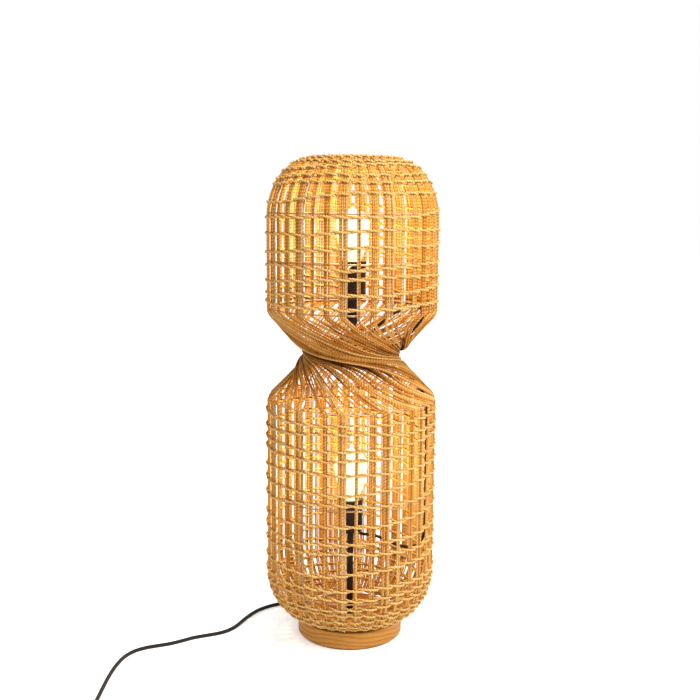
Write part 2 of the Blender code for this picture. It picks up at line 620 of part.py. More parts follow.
def make_rocker(centre):
    """The rocker, with its pivot pins, turned about an axis across the switch."""
    ends = math.sqrt(ROCKER_RADIUS ** 2 - ROCKER_RISE ** 2) - 0.0004
    lip = ROCKER_RISE + 0.8 * ends * math.tan(ROCKER_TILT)
    outline = [(-ends, lip), (-0.0083, -0.0005), (-0.0060, -0.0045), (0.0060, -0.0045), (0.0083, -0.0005),
               (ends, lip), (0, ROCKER_RISE)]
    bm = bmesh.new()
    face = bm.faces.new([bm.verts.new((-ROCKER_HALF, y, z)) for y, z in outline])
    moved = bmesh.ops.extrude_face_region(bm, geom=[face])["geom"]
    bmesh.ops.translate(bm, verts=[v for v in moved if isinstance(v, bmesh.types.BMVert)],
                        vec=(2 * ROCKER_HALF, 0, 0))
    rocker = placed("switch_rocker", mesh_from(bm, "switch_rocker"), "black_plastic", centre)
    pins = helpers_of("rocker_pins")
    as_helper(round_cutter(0.0010, 0.0155, Matrix.Rotation(math.radians(90), 4, "Y"), 12), pins)
    pins.objects[0].parent = rocker
    boolean(rocker, "UNION", pins)
    rocker.location = (0, 0, PIVOT_HEIGHT)
    rocker.rotation_euler = (ROCKER_TILT, 0, 0)


def make_plug():
    """A flat two-pin plug lying beside the coil, with its pins to the right."""
    hull = rounded_rectangle(0.0260, 0.0340, 0.0060)
    outline = [(y, x * (1 - 9.0 * max(0.0, -y))) for x, y in hull]
    body = prism("plug_body", outline, PLUG_LOW, PLUG_HIGH, "black_plastic")
    body.location = (*PLUG_CENTRE, 0)
    soften_edges(body, PLUG_HIGH)
    for number, side in enumerate((-1, 1), 1):
        shape = [(0, 0.0190), (0.0012, 0.0190), (0.0020, 0.0175), (0.0020, 0), (0, 0)]
        pin = turned(f"plug_pin_{number}", shape, "steel", 12)
        across, height = PLUG_CENTRE[1] + side * PIN_SPREAD, (PLUG_LOW + PLUG_HIGH) / 2
        pin.location = (PLUG_CENTRE[0] + 0.0173, across, height)
        pin.rotation_euler = (0, math.radians(90), 0)


def main():
    clear_scene()
    make_skins()
    make_frames()
    make_spider()
    make_base()
    make_pole()
    make_feed_lead()
    make_lower_holder()
    make_upper_holder()
    make_bulb("lower", 0)
    make_bulb("upper", HOLDER_STEP)
    make_link_cable()
    make_gland()
    make_mains_cord()
    make_coil_tie()
    make_switch()
    make_plug()


main()
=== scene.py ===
"""The looks of a woven rope floor lamp: two drums of rope joined by a twisted waist, on a wooden base, with a
lit bulb in each drum and a braided mains cord. Everything is in metres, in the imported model's frame, Z up."""

import math

import bmesh
import bpy
import numpy as np
from mathutils import Matrix, Vector


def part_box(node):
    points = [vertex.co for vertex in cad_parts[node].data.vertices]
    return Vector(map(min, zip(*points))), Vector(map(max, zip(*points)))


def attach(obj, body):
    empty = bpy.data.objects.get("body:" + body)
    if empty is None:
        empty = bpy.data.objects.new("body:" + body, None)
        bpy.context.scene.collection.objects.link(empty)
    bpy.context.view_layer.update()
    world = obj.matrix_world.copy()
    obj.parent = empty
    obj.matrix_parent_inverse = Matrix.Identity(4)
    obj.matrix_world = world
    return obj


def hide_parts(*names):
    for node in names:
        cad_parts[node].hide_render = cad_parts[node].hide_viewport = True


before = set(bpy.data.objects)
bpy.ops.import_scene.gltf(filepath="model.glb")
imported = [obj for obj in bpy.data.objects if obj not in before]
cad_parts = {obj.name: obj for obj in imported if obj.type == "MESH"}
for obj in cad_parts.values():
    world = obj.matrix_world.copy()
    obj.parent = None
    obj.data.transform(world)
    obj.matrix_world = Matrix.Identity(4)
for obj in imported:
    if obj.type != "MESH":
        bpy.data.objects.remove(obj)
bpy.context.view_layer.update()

TAU = math.tau
FRONT = math.radians(-90)
RANDOM = np.random.default_rng(7)


# ---- sizes read from the frame ----
def node_points(node):
    return np.array([v.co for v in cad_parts[node].data.vertices])


def outer_radius(node, height=None):
    """The largest distance from the lamp's axis to the node, or only to its points at this height."""
    points = node_points(node)
    if height is not None:
        points = points[abs(points[:, 2] - height) < 5e-4]
    return float(np.hypot(points[:, 0], points[:, 1]).max())


def low_of(node):
    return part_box(node)[0].z


def high_of(node):
    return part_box(node)[1].z


def span_of(node):
    return low_of(node), high_of(node)


def middle_of(node):
    low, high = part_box(node)
    return (low + high) / 2


DRUM_RADIUS = outer_radius("lower_weave_drum")
DOME_FOOT, DOME_TOP = low_of("upper_weave_dome"), high_of("upper_weave_dome")
DOME_RIM = outer_radius("upper_weave_dome", DOME_TOP)
UPPER_SHOULDER, LOWER_SHOULDER = high_of("waist_strings_top"), low_of("waist_strings_bottom")
WAIST_HEIGHT = low_of("waist_strings_top")
WAIST_RADIUS = outer_radius("waist_strings_top", WAIST_HEIGHT)
BOWL_TOP, BOWL_FOOT = high_of("lower_weave_bowl"), low_of("lower_weave_bowl")
BOWL_RIM = outer_radius("lower_weave_bowl", BOWL_FOOT)
BASE_TOP, BASE_RADIUS = high_of("base_disc"), outer_radius("base_disc")

# ---- sizes of the weave ----
STRAND = 0.00165  # half a rope's thickness
ROPE_GAP = 2.02  # between the middles of a stake's ropes, in half thicknesses
ROPE_SIZES = (0.92, 1.06)  # the thinnest and the thickest rope, as shares of that
ROPE_TONES = (0.10, 0.80)  # the darkest and the palest rope
ROPE_SIDES = 8
STAKE_INSET = 0.0041  # from the drum's outside in to the middle of its stakes
STAKES = 36
STAKE_STEP = TAU / STAKES
FRONT_BAY = (4, 2, 3)  # ropes in each stake of a bay, at the front of either drum
BACK_BAY = (7, 5, 6)  # the same, where the weave is closer
FRONT_REACH = math.radians(90)  # how far round from the front the open bays go
BAYS = 12
WIDE_ANGLE = FRONT - math.radians(6.4)  # the azimuth of the first stake, a wide one
DRUM_SPACING, WAIST_SPACING = 0.008, 0.0018  # between a rope's points

TWIST = math.radians(176)  # how far round a rope goes from the upper shoulder to the lower one
WRAP_SHARE = 0.40  # how much of the twist is wound round the waist itself
WRAP_REACH = 0.13  # how far that goes, as a share of the way to a shoulder
LEAN = 1.3  # how fast a rope turns as it runs straight from the waist to a shoulder
OPENING = 0.70  # how fast a stake's ropes spread out from its shoulder: lower is faster
WAIST_SLOPE, WAIST_ROUND = 0.9, 0.008
SHOULDER_ROUND = 0.004
STRAY, CROSSING = 0.055, 0.080  # how far ropes stray sideways at the waist, and lean across each other
LOOSE_STAKES, LOOSE_WAIST = 0.0006, 0.0011  # how far a rope wanders sideways, and how much more at the waist
LOOSE_DEPTH = 0.00030  # how far it wanders in and out
THINNER = 0.17  # how much thinner a rope is at the waist, as a share

# the azimuth of each fold's outer edge at the waist, and how much painted shade darkens its deepest ropes,
# where they lie under the next fold's edge
FOLDS = {
    math.radians(-110): 0.40,
    math.radians(30): 0.40,
    math.radians(136): 0.85,
}
FOLD_DEPTH = 0.009  # how far the ropes of a fold lie one below the other
FOLD_STRAY = (-0.0008, 0.0034)  # how far out or in from there a rope may lie
FOLD_LAP = 1.16  # how far a fold's last ropes go on under the next fold's edge
FOLD_CROWD = 1.12  # how much closer a fold's ropes lie towards its edge: 1 is even
FOLD_HOLD = 4.0  # how soon a fold opens out above and below the waist: higher is sooner
SHADE_START, SHADE_SPAN = 0.50, 0.35  # where in a fold the painted shade on its ropes starts, and over how much of it
WAIST_SHADED_SHARE, WAIST_PAINTED_SHADE = 0.28, 0.34  # the share of ropes given painted shade at the waist, where they crowd, and how much
PARTING_HEIGHT, PARTING_REACH = 0.466, 0.020  # where the front fold's ropes part, and how far up and down
PARTING_SHARE, PARTING_WIDTH = 0.16, 0.12  # which ropes of the fold do, as shares of it
PARTING_TURN = 0.10  # how far they move, in radians

ROW = 0.00178  # half the thickness of a row's ropes
UPPER_ROWS = (0.861, 0.857, 0.850, 0.841, 0.828, 0.816, 0.794, 0.762, 0.734, 0.709, 0.678, 0.657, 0.636,
              0.610)
LOWER_ROWS = (0.420, 0.398, 0.376, 0.358, 0.331, 0.303, 0.278, 0.243, 0.214, 0.193, 0.161, 0.132, 0.114,
              0.098, 0.084, 0.070, 0.058, 0.049)
ROW_STEPS = 9  # points of a row's rope from stake to stake
# the rows' ropes are paler than the stakes': partly their own random tone, partly a painted highlight where
# they stand proud of the stakes
ROW_TONES_WITH_HIGHLIGHT, BORDER_TONES = (0.68, 0.86), (0.35, 0.75)
ROW_FREE, ROW_CALM = 0.018, 0.12  # rows closer together than this wander less, down to this share
ROW_SWING = 0.55  # how sharply a row's rope passes through between stakes: lower is sharper
ROW_CROSS = 0.80  # how far above or below the other it crosses, in half thicknesses
BORDER_STEPS = 16  # the same for a twined edge

# ---- sizes of the wire frames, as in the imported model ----
WIRE = 0.0015
RIBS = 12
RIB_PHASE = FRONT - math.radians(3.6)
RIB_INSET = 0.0053
RING_INSET = 0.0073
UPPER_RINGS = (0.600, 0.683)
LOWER_RINGS = (0.270, LOWER_SHOULDER)
DOME_RING, BOWL_RING = 0.765, 0.105

# ---- the cords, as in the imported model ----
CORD_RADIUS = 0.00325
CORD_SPACING = 0.0022  # between the points of a cord's path
CORD_ANGLE = math.radians(125)  # where the mains cord leaves the base
LINK_RADIUS = 0.0028
COIL_CENTRE = middle_of("cord_coil")
COIL_RADIUS = 0.038
COIL_TURNS = 4.25
ROD_HOLE = 0.0053  # half the hole that the rod goes through, in base, collar and cap


def level(height, places):
    """Points of a route that runs level, at this height."""
    return [(x, y, height) for x, y in places]


CORD_ROUTE = [
    (-0.0696, 0.0994, 0.0072), (-0.077, 0.108, 0.0055), (-0.0865, 0.114, 0.0038)
] + level(0.0034, [
    (-0.0975, 0.116), (-0.109, 0.1145), (-0.121, 0.1105), (-0.134, 0.105), (-0.149, 0.097), (-0.1646, 0.085),
    (-0.1814, 0.0645), (-0.1965, 0.034), (-0.2095, 0.001), (-0.221, -0.018), (-0.236, -0.0315),
    (-0.258, -0.042), (-0.282, -0.053), (-0.301, -0.0665), (-0.32, -0.0785), (-0.34, -0.087), (-0.36, -0.096),
    (-0.377, -0.11), (-0.389, -0.132), (-0.3955, -0.162), (-0.3985, -0.2), (-0.399, -0.245),
]) + [
    (-0.3985, -0.29, 0.0036), (-0.3985, -0.306, 0.0052), (-0.3985, -0.3212, 0.0085)
]
SWITCH_ROUTE = level(0.0085, [(-0.3985, -0.34), (-0.3985, -0.354), (-0.3985, -0.37)])
COIL_LEAD_ROUTE = [
    (-0.3985, -0.3868, 0.0085), (-0.3986, -0.395, 0.007), (-0.399, -0.403, 0.0054), (-0.3998, -0.412, 0.0048),
]
TAIL_ROUTE = [
    (-0.35, -0.479, 0.0158), (-0.342, -0.48, 0.014), (-0.3315, -0.4805, 0.0118), (-0.321, -0.48, 0.0098),
    (-0.309, -0.4793, 0.0084), (-0.299, -0.479, 0.0077), (-0.2903, -0.479, 0.0074),
]
LINK_ROUTE = [(x, 0, z) for x, z in (
    (0, 0.5612), (0.0015, 0.556), (0.006, 0.549), (0.013, 0.545), (0.022, 0.5455), (0.032, 0.551),
    (0.043, 0.563), (0.053, 0.573), (0.066, 0.584), (0.08, 0.593), (0.094, 0.5995), (0.107, 0.603),
    (0.118, 0.6015), (0.125, 0.5955), (0.1262, 0.587), (0.1215, 0.5765), (0.1125, 0.565), (0.099, 0.55),
    (0.086, 0.535), (0.0788, 0.521), (0.0788, 0.509), (0.0868, 0.496), (0.1005, 0.48), (0.1145, 0.464),
    (0.127, 0.449), (0.134, 0.435), (0.136, 0.415), (0.1362, 0.38), (0.1362, 0.33), (0.1362, 0.28),
    (0.1362, 0.23), (0.1358, 0.195), (0.133, 0.178), (0.126, 0.1655), (0.115, 0.1595), (0.1, 0.159),
    (0.082, 0.1645), (0.064, 0.1725), (0.048, 0.179), (0.034, 0.1815), (0.024, 0.1825), (0.0165, 0.1848),
)]


# ---- materials ----
WHITE = (1.0, 1.0, 1.0)


class Nodes:
    """A short way to write a material's nodes: each call adds one and links its inputs."""

    def __init__(self, name):
        self.material = bpy.data.materials.new(name)
        self.material.use_nodes = True
        self.tree = self.material.node_tree
        self.shader = self.tree.nodes["Principled BSDF"]

    def feed(self, socket, value):
        if isinstance(value, bpy.types.NodeSocket):
            self.tree.links.new(value, socket)
        else:
            socket.default_value = value

    def add(self, kind, inputs=(), output=0, **settings):
        made = self.tree.nodes.new(kind)
        for key, value in settings.items():
            setattr(made, key, value)
        for key, value in dict(inputs).items():
            self.feed(made.inputs[key], value)
        return made.outputs[output]

    def maths(self, operation, *values):
        return self.add("ShaderNodeMath", dict(enumerate(values)), operation=operation)

    def place(self):
        return self.add("ShaderNodeTexCoord", output="Object")

    def stretched(self, vector, scale):
        return self.add("ShaderNodeMapping", {"Vector": vector, "Scale": scale})

    def noise(self, vector, scale, detail=3.0, roughness=0.55):
        return self.add("ShaderNodeTexNoise", {"Vector": vector, "Scale": scale, "Detail": detail,
                                               "Roughness": roughness}, output="Fac")

    def ramp(self, value, stops):
        made = self.tree.nodes.new("ShaderNodeValToRGB")
        band = made.color_ramp
        while len(band.elements) < len(stops):
            band.elements.new(0.5)
        for element, (position, colour) in zip(band.elements, stops):
            element.position = position
            element.color = (*colour, 1)
        self.feed(made.inputs["Fac"], value)
        return made.outputs["Color"]

    def mix(self, share, one, other, blend="MIX"):
        made = self.tree.nodes.new("ShaderNodeMix")
        made.data_type = "RGBA"
        made.blend_type = blend
        self.feed(made.inputs["Factor"], share)
        for socket, value in ((made.inputs[6], one), (made.inputs[7], other)):
            self.feed(socket, (*value, 1) if isinstance(value, tuple) else value)
        return made.outputs[2]

    def between(self, value, low, high):
        return self.add("ShaderNodeMapRange", {"Value": value, "To Min": low, "To Max": high})

    def bump(self, height, strength, distance):
        return self.add("ShaderNodeBump", {"Height": height, "Strength": strength, "Distance": distance})

    def set(self, **values):
        names = {"colour": "Base Color", "roughness": "Roughness", "metallic": "Metallic", "normal": "Normal",
                 "emission": "Emission Color", "strength": "Emission Strength", "sheen": "Sheen Weight",
                 "coat": "Coat Weight", "specular": "Specular IOR Level"}
        for key, value in values.items():
            self.feed(self.shader.inputs[names[key]], value)
        return self.material


def rope_plies(nodes, turn, plies):
    """(height, uv): how high a laid rope's plies stand, and the "rope" UV layer, which is around and along.
    turn is the length of one turn of the lay, and negative for the other hand."""
    uv = nodes.add("ShaderNodeUVMap", uv_map="rope")
    parts = nodes.tree.nodes.new("ShaderNodeSeparateXYZ")
    nodes.feed(parts.inputs[0], uv)
    around, along = parts.outputs[0], parts.outputs[1]
    lay = nodes.maths("MULTIPLY", along, plies / turn)
    phase = nodes.maths("MULTIPLY_ADD", around, float(plies), lay)
    wave = nodes.maths("SINE", nodes.maths("MULTIPLY", phase, math.pi))
    return nodes.maths("ABSOLUTE", wave), uv


def rope_material():
    """Laid paper rope: two plies, with painted shade in the grooves between them, fine fibres along them, and a
    tone of its own for each rope, which on the waist's ropes also carries painted shade.
    """
    nodes = Nodes("rope")
    height, uv = rope_plies(nodes, 0.011, 2)
    fibres = nodes.noise(nodes.stretched(uv, (6.0, 420.0, 1.0)), 1.0, detail=4.0, roughness=0.7)
    blotches = nodes.noise(nodes.place(), 46.0, detail=3.0)
    tone = nodes.add("ShaderNodeAttribute", attribute_name="tone", output="Fac")
    mixed = nodes.maths("ADD", nodes.maths("MULTIPLY", tone, 0.65), nodes.maths("MULTIPLY", blotches, 0.35))
    body = nodes.ramp(mixed, [(0.00, (0.045, 0.012, 0.002)), (0.24, (0.350, 0.128, 0.017)),
                              (0.48, (0.490, 0.236, 0.050)), (0.74, (0.580, 0.385, 0.150)),
                              (0.90, (0.700, 0.500, 0.215))])
    # painted shade: the colour darkens in the grooves between the plies, as well as the bump
    groove = nodes.ramp(height, [(0.0, (0.36, 0.26, 0.18)), (0.40, (0.84, 0.80, 0.74)), (0.85, WHITE)])
    shaded = nodes.mix(1.0, body, groove, blend="MULTIPLY")
    fine = nodes.ramp(fibres, [(0.30, (0.80, 0.77, 0.72)), (0.62, WHITE)])
    relief = nodes.maths("MULTIPLY_ADD", fibres, 0.30, height)
    return nodes.set(colour=nodes.mix(1.0, shaded, fine, blend="MULTIPLY"), specular=0.08,
                     roughness=nodes.between(fibres, 0.62, 0.85), normal=nodes.bump(relief, 0.75, 0.0007))


def wire_material():
    """Pale painted wire, a little rubbed."""
    nodes = Nodes("wire")
    worn = nodes.noise(nodes.place(), 120.0)
    colour = nodes.ramp(worn, [(0.35, (0.30, 0.16, 0.08)), (0.60, (0.44, 0.27, 0.15))])
    return nodes.set(specular=0.2, colour=colour, roughness=nodes.between(worn, 0.35, 0.60),
                     normal=nodes.bump(worn, 0.20, 0.0003))


def wood_material():
    """Oiled rubberwood: arched growth rings round an axis across the disc, short pores and a warm tint."""
    nodes = Nodes("wood")
    place = nodes.place()
    bent = nodes.noise(nodes.stretched(place, (5.0, 7.0, 9.0)), 1.0, detail=2.0)
    moved = nodes.add("ShaderNodeMapping", {"Vector": place, "Location": (0.0, 0.06, 0.046),
                                            "Rotation": (0.0, math.radians(7), math.radians(14)),
                                            "Scale": (0.22, 0.62, 1.35)})
    wobble = nodes.add("ShaderNodeVectorMath", {0: bent, 3: 0.035}, operation="SCALE")
    grain = nodes.add("ShaderNodeVectorMath", {0: moved, 1: wobble}, operation="ADD")
    rings = nodes.add("ShaderNodeTexWave", {"Vector": grain, "Scale": 30.0, "Distortion": 2.2, "Detail": 2.0,
                                            "Detail Scale": 1.4}, output="Fac",
                      wave_type="RINGS", rings_direction="X", wave_profile="SAW")
    pores = nodes.noise(nodes.stretched(place, (60.0, 900.0, 900.0)), 1.0, detail=4.0, roughness=0.65)
    patches = nodes.noise(place, 16.0, detail=2.0)
    body = nodes.ramp(rings, [(0.0, (0.40, 0.185, 0.036)), (0.50, (0.36, 0.155, 0.028)),
                              (0.90, (0.22, 0.082, 0.013)), (1.0, (0.36, 0.155, 0.028))])
    broad = nodes.mix(nodes.between(patches, 0.0, 0.30), body, (0.48, 0.245, 0.055))
    dark = nodes.ramp(pores, [(0.36, (0.86, 0.80, 0.74)), (0.47, WHITE)])
    return nodes.set(colour=nodes.mix(1.0, broad, dark, blend="MULTIPLY"), specular=0.10,
                     roughness=nodes.between(pores, 0.40, 0.55), normal=nodes.bump(pores, 0.22, 0.0003))


def felt_material():
    nodes = Nodes("felt")
    fuzz = nodes.noise(nodes.place(), 900.0, detail=4.0, roughness=0.7)
    colour = nodes.ramp(fuzz, [(0.3, (0.012, 0.008, 0.007)), (0.7, (0.040, 0.028, 0.024))])
    return nodes.set(colour=colour, roughness=0.95, sheen=0.4, normal=nodes.bump(fuzz, 0.6, 0.0006))


def plastic_material(name, dark, light, low, high):
    """Moulded plastic: a fine spark-eroded grain, a few scuffs and a slight change of tone."""
    nodes = Nodes(name)
    grain = nodes.noise(nodes.place(), 1400.0, detail=2.0)
    scuffs = nodes.noise(nodes.place(), 70.0, detail=5.0)
    return nodes.set(colour=nodes.ramp(scuffs, [(0.35, dark), (0.70, light)]), specular=0.2,
                     roughness=nodes.between(scuffs, low, high), normal=nodes.bump(grain, 0.12, 0.0002))


def painted_metal_material():
    """Black powder coat with an orange-peel surface."""
    nodes = Nodes("black_metal")
    peel = nodes.noise(nodes.place(), 620.0, detail=1.0)
    patches = nodes.noise(nodes.place(), 35.0)
    colour = nodes.ramp(patches, [(0.3, (0.005, 0.003, 0.002)), (0.7, (0.012, 0.007, 0.005))])
    return nodes.set(specular=0.2, colour=colour, roughness=nodes.between(patches, 0.34, 0.48),
                     normal=nodes.bump(peel, 0.18, 0.0003))


def metal_material(name, dull, bright, low, high):
    """Turned or pressed metal, with fine marks that run round the axis and stains."""
    nodes = Nodes(name)
    marks = nodes.noise(nodes.stretched(nodes.place(), (40.0, 40.0, 2600.0)), 1.0, detail=3.0)
    stains = nodes.noise(nodes.place(), 160.0)
    return nodes.set(colour=nodes.ramp(stains, [(0.3, dull), (0.65, bright)]), metallic=1.0,
                     roughness=nodes.between(marks, low, high), normal=nodes.bump(marks, 0.10, 0.0002))


def bulb_material():
    """Opal glass, lit from within. Its glow is a little warmer in some places than in others."""
    nodes = Nodes("lamp_glass")
    glow = nodes.noise(nodes.place(), 28.0, detail=1.0)
    colour = nodes.ramp(glow, [(0.30, (1.0, 0.80, 0.42)), (0.55, (1.0, 0.88, 0.56)),
                               (0.75, (1.0, 0.92, 0.66))])
    return nodes.set(colour=(0.60, 0.52, 0.36, 1), roughness=0.22, coat=0.3, emission=colour, strength=1.15)


def braid_material(name, dark, light):
    """A textile braid: two sets of yarns that cross, from the "rope" UV layer, with painted shade darkening the
    colour between the yarns.
    """
    nodes = Nodes(name)
    right, uv = rope_plies(nodes, 0.010, 8)
    left, _ = rope_plies(nodes, -0.010, 8)
    yarns = nodes.maths("MULTIPLY", right, left)
    fuzz = nodes.noise(nodes.stretched(uv, (30.0, 2200.0, 1.0)), 1.0, detail=3.0)
    # painted shade: the colour is darker where the yarns dip between each other
    colour = nodes.ramp(nodes.maths("MULTIPLY_ADD", fuzz, 0.35, yarns), [(0.10, dark), (0.95, light)])
    return nodes.set(colour=colour, roughness=nodes.between(fuzz, 0.60, 0.85), sheen=0.05, specular=0.12,
                     normal=nodes.bump(yarns, 0.8, 0.0004))


def floor_material():
    """White seamless paper. A little of its light is its own, so that it meets the white background."""
    nodes = Nodes("stage_floor")
    return nodes.set(colour=(0.84, 0.84, 0.84, 1), roughness=0.9, specular=0.1,
                     emission=(1.0, 1.0, 1.0, 1), strength=0.34)


MATERIALS = {
    "rope": rope_material(),
    "wire": wire_material(),
    "wood": wood_material(),
    "felt": felt_material(),
    "black_metal": painted_metal_material(),
    "black_plastic": plastic_material("black_plastic", (0.007, 0.004, 0.002), (0.020, 0.010, 0.006),
                                      0.36, 0.55),
    "steel": metal_material("steel", (0.42, 0.41, 0.40), (0.66, 0.65, 0.63), 0.22, 0.42),
    "brass": metal_material("brass", (0.55, 0.38, 0.15), (0.80, 0.62, 0.30), 0.22, 0.42),
    "ceramic": plastic_material("ceramic", (0.74, 0.71, 0.64), (0.86, 0.84, 0.79), 0.30, 0.45),
    "lamp_glass": bulb_material(),
    "cord": braid_material("cord", (0.004, 0.003, 0.003), (0.024, 0.018, 0.015)),
    "stage_floor": floor_material(),
}


# ---- shapes ----
def linked(name, data):
    """A new object of this data, in the scene."""
    made = bpy.data.objects.new(name, data)
    bpy.context.scene.collection.objects.link(made)
    return made


def mesh_of(bm, name):
    made = bpy.data.meshes.new(name)
    bm.to_mesh(made)
    bm.free()
    return made


def shaded(mesh, degrees):
    """The mesh, shaded smooth but for edges sharper than this."""
    mesh.shade_smooth()
    mesh.set_sharp_from_angle(angle=math.radians(degrees))
    return mesh


def finished(name, mesh, slot, body="lamp", stands_for=()):
    """A piece of this mesh, in the finish of its slot, that rides on a body of the frame."""
    mesh.materials.clear()
    mesh.materials.append(MATERIALS[slot])
    made = linked(name, mesh)
    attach(made, body)
    if stands_for:
        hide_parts(*stands_for)
    return made


def unit(vectors):
    return vectors / np.linalg.norm(vectors, axis=-1, keepdims=True)


def polar(radius, angle, height):
    """Points from their distances from the lamp's axis, azimuths and heights."""
    return np.stack(np.broadcast_arrays(radius * np.cos(angle), radius * np.sin(angle), height), -1)


def run_along(path):
    """The length run along the path up to each of its points."""
    return np.concatenate([[0.0], np.cumsum(np.linalg.norm(np.diff(path, axis=0), axis=1))])


def sampled(stops, run, points):
    """The points that lie this far along, of a path with this run."""
    return np.stack([np.interp(stops, run, column) for column in points.T], 1)


def tube_rings(path, radius, facing, closed=False, sides=ROPE_SIDES):
    """(rings, lengths): a ring of points round each point of the path, and the length run up to each. facing
    is the direction in which each ring's first point lies, nearly."""
    path = np.asarray(path, float)
    if closed:
        along = np.roll(path, -1, 0) - np.roll(path, 1, 0)
    else:
        along = np.gradient(path, axis=0)
    along = unit(along)
    facing = np.broadcast_to(np.asarray(facing, float), path.shape)
    across = unit(np.cross(along, facing))
    outward = np.cross(across, along)
    turn = TAU * np.arange(sides) / sides
    radius = np.broadcast_to(np.asarray(radius, float), len(path))[:, None, None]
    spread = np.cos(turn)[None, :, None] * outward[:, None] + np.sin(turn)[None, :, None] * -across[:, None]
    return path[:, None] + radius * spread, run_along(path)


class Ropes:
    """Collects tubes and makes one mesh of them, with a "rope" UV layer (around, metres along) and a tone."""

    def __init__(self):
        self.points, self.faces, self.uvs, self.tones, self.count = [], [], [], [], 0

    def add(self, rings, lengths, tone, closed=False):
        rows, sides = rings.shape[:2]
        index = self.count + np.arange(rows * sides).reshape(rows, sides)
        lengths = np.asarray(lengths, float)
        if closed:
            gap = np.linalg.norm(rings[0].mean(0) - rings[-1].mean(0))
            index = np.vstack([index, index[:1]])
            lengths = np.append(lengths, lengths[-1] + gap)
        here, there = index[:-1], index[1:]
        quads = np.stack([here, np.roll(here, -1, 1), np.roll(there, -1, 1), there], -1).reshape(-1, 4)
        around = np.arange(sides) / sides
        low = np.broadcast_to(lengths[:-1, None], here.shape)
        high = np.broadcast_to(lengths[1:, None], here.shape)
        left = np.broadcast_to(around, here.shape)
        right = left + 1 / sides
        corners = [np.stack(pair, -1) for pair in ((left, low), (right, low), (right, high), (left, high))]
        self.points.append(rings.reshape(-1, 3))
        self.faces.extend(quads.tolist())
        self.uvs.append(np.stack(corners, 2).reshape(-1, 2))
        if not closed:
            for cap in (index[0][::-1], index[-1]):
                self.faces.append(cap.tolist())
                self.uvs.append(np.zeros((sides, 2)))
        self.tones.append(np.repeat(np.broadcast_to(tone, rows), sides))
        self.count += rows * sides

    def tube(self, path, radius, tone=0.5, facing=None, closed=False, sides=ROPE_SIDES):
        """Adds a tube along the path, whose rings face away from the lamp unless told otherwise."""
        facing = outward_from_lamp(path) if facing is None else facing
        self.add(*tube_rings(path, radius, facing, closed, sides), tone, closed)

    def mesh(self, name):
        made = bpy.data.meshes.new(name)
        made.from_pydata(np.concatenate(self.points).tolist(), [], self.faces)
        layer = made.uv_layers.new(name="rope")
        layer.data.foreach_set("uv", np.concatenate(self.uvs).astype(np.float32).ravel())
        tone = made.attributes.new("tone", "FLOAT", "POINT")
        tone.data.foreach_set("value", np.concatenate(self.tones).astype(np.float32))
        made.shade_smooth()
        return made


def outward_from_lamp(path):
    """The direction away from the lamp's axis, which leans up over the dome and down round the bowl."""
    away = np.array(path, float)
    away[:, 2] -= np.clip(away[:, 2], BOWL_TOP, DOME_FOOT)
    return unit(away)


CURVE_STEPS = 12  # between two of a route's own points


def smooth_route(points, spacing):
    """Points a given distance apart along a smooth curve through the route's own points."""
    ends = [Vector(p) for p in points]
    ends = [2 * ends[0] - ends[1]] + ends + [2 * ends[-1] - ends[-2]]
    fine = []
    for a, b, c, d in zip(ends, ends[1:], ends[2:], ends[3:]):
        for t in np.arange(CURVE_STEPS) / CURVE_STEPS:
            fine.append(0.5 * (2 * b + (c - a) * t + (2 * a - 5 * b + 4 * c - d) * t ** 2
                               + (3 * b - a - 3 * c + d) * t ** 3))
    fine = np.array(fine + [ends[-2]])
    run = run_along(fine)
    return sampled(np.linspace(0, run[-1], max(2, round(run[-1] / spacing)) + 1), run, fine)


def rounded(outline, radius, steps=3, closed=True):
    """The outline of (radius, height) points with its corners rounded, as far as its sides allow."""
    points = [Vector(p) for p in outline]
    result = []
    for i, corner in enumerate(points):
        if not closed and i in (0, len(points) - 1):
            result.append(tuple(corner))
            continue
        before, after = points[i - 1] - corner, points[(i + 1) % len(points)] - corner
        reach = min(radius, 0.45 * before.length, 0.45 * after.length)
        start, end = corner + before.normalized() * reach, corner + after.normalized() * reach
        for k in range(steps + 1):
            t = k / steps
            result.append(tuple((1 - t) ** 2 * start + 2 * t * (1 - t) * corner + t ** 2 * end))
    return result


def turned_mesh(name, outline, steps=64, closed=True, ripple=None):
    """A surface of revolution about +Z. ripple(angle, radius, height) may move a point's radius."""
    bm = bmesh.new()
    rings = []
    for i in range(steps):
        angle = TAU * i / steps
        ring = []
        for radius, height in outline:
            reach = ripple(angle, radius, height) if ripple and radius > 0 else radius
            ring.append(bm.verts.new((reach * math.cos(angle), reach * math.sin(angle), height)))
        rings.append(ring)
    count = len(outline)
    for i in range(steps):
        one, other = rings[i], rings[(i + 1) % steps]
        for k in range(count if closed else count - 1):
            n = (k + 1) % count
            bm.faces.new((one[k], one[n], other[n], other[k]))
    bmesh.ops.remove_doubles(bm, verts=bm.verts, dist=1e-6)
    bmesh.ops.recalc_face_normals(bm, faces=bm.faces)
    return shaded(mesh_of(bm, name), 50)


def turned(name, outline, slot, body="lamp", stands_for=(), at=(0, 0, 0), **more):
    mesh = turned_mesh(name, outline, **more)
    mesh.transform(Matrix.Translation(at))
    return finished(name, mesh, slot, body, stands_for)


def plate_mesh(name, outline, low, high, bevel, segments=3):
    """An upright plate of this outline, with rounded edges above and below."""
    bm = bmesh.new()
    face = bm.faces.new([bm.verts.new((x, y, low)) for x, y in outline])
    top = bmesh.ops.extrude_face_region(bm, geom=[face])["geom"]
    raised = [v for v in top if isinstance(v, bmesh.types.BMVert)]
    bmesh.ops.translate(bm, verts=raised, vec=(0, 0, high - low))
    bmesh.ops.recalc_face_normals(bm, faces=bm.faces)
    rims = [e for e in bm.edges if abs(e.verts[0].co.z - e.verts[1].co.z) < 1e-7]
    bmesh.ops.bevel(bm, geom=rims, offset=bevel, segments=segments, profile=0.5, affect="EDGES")
    return shaded(mesh_of(bm, name), 40)


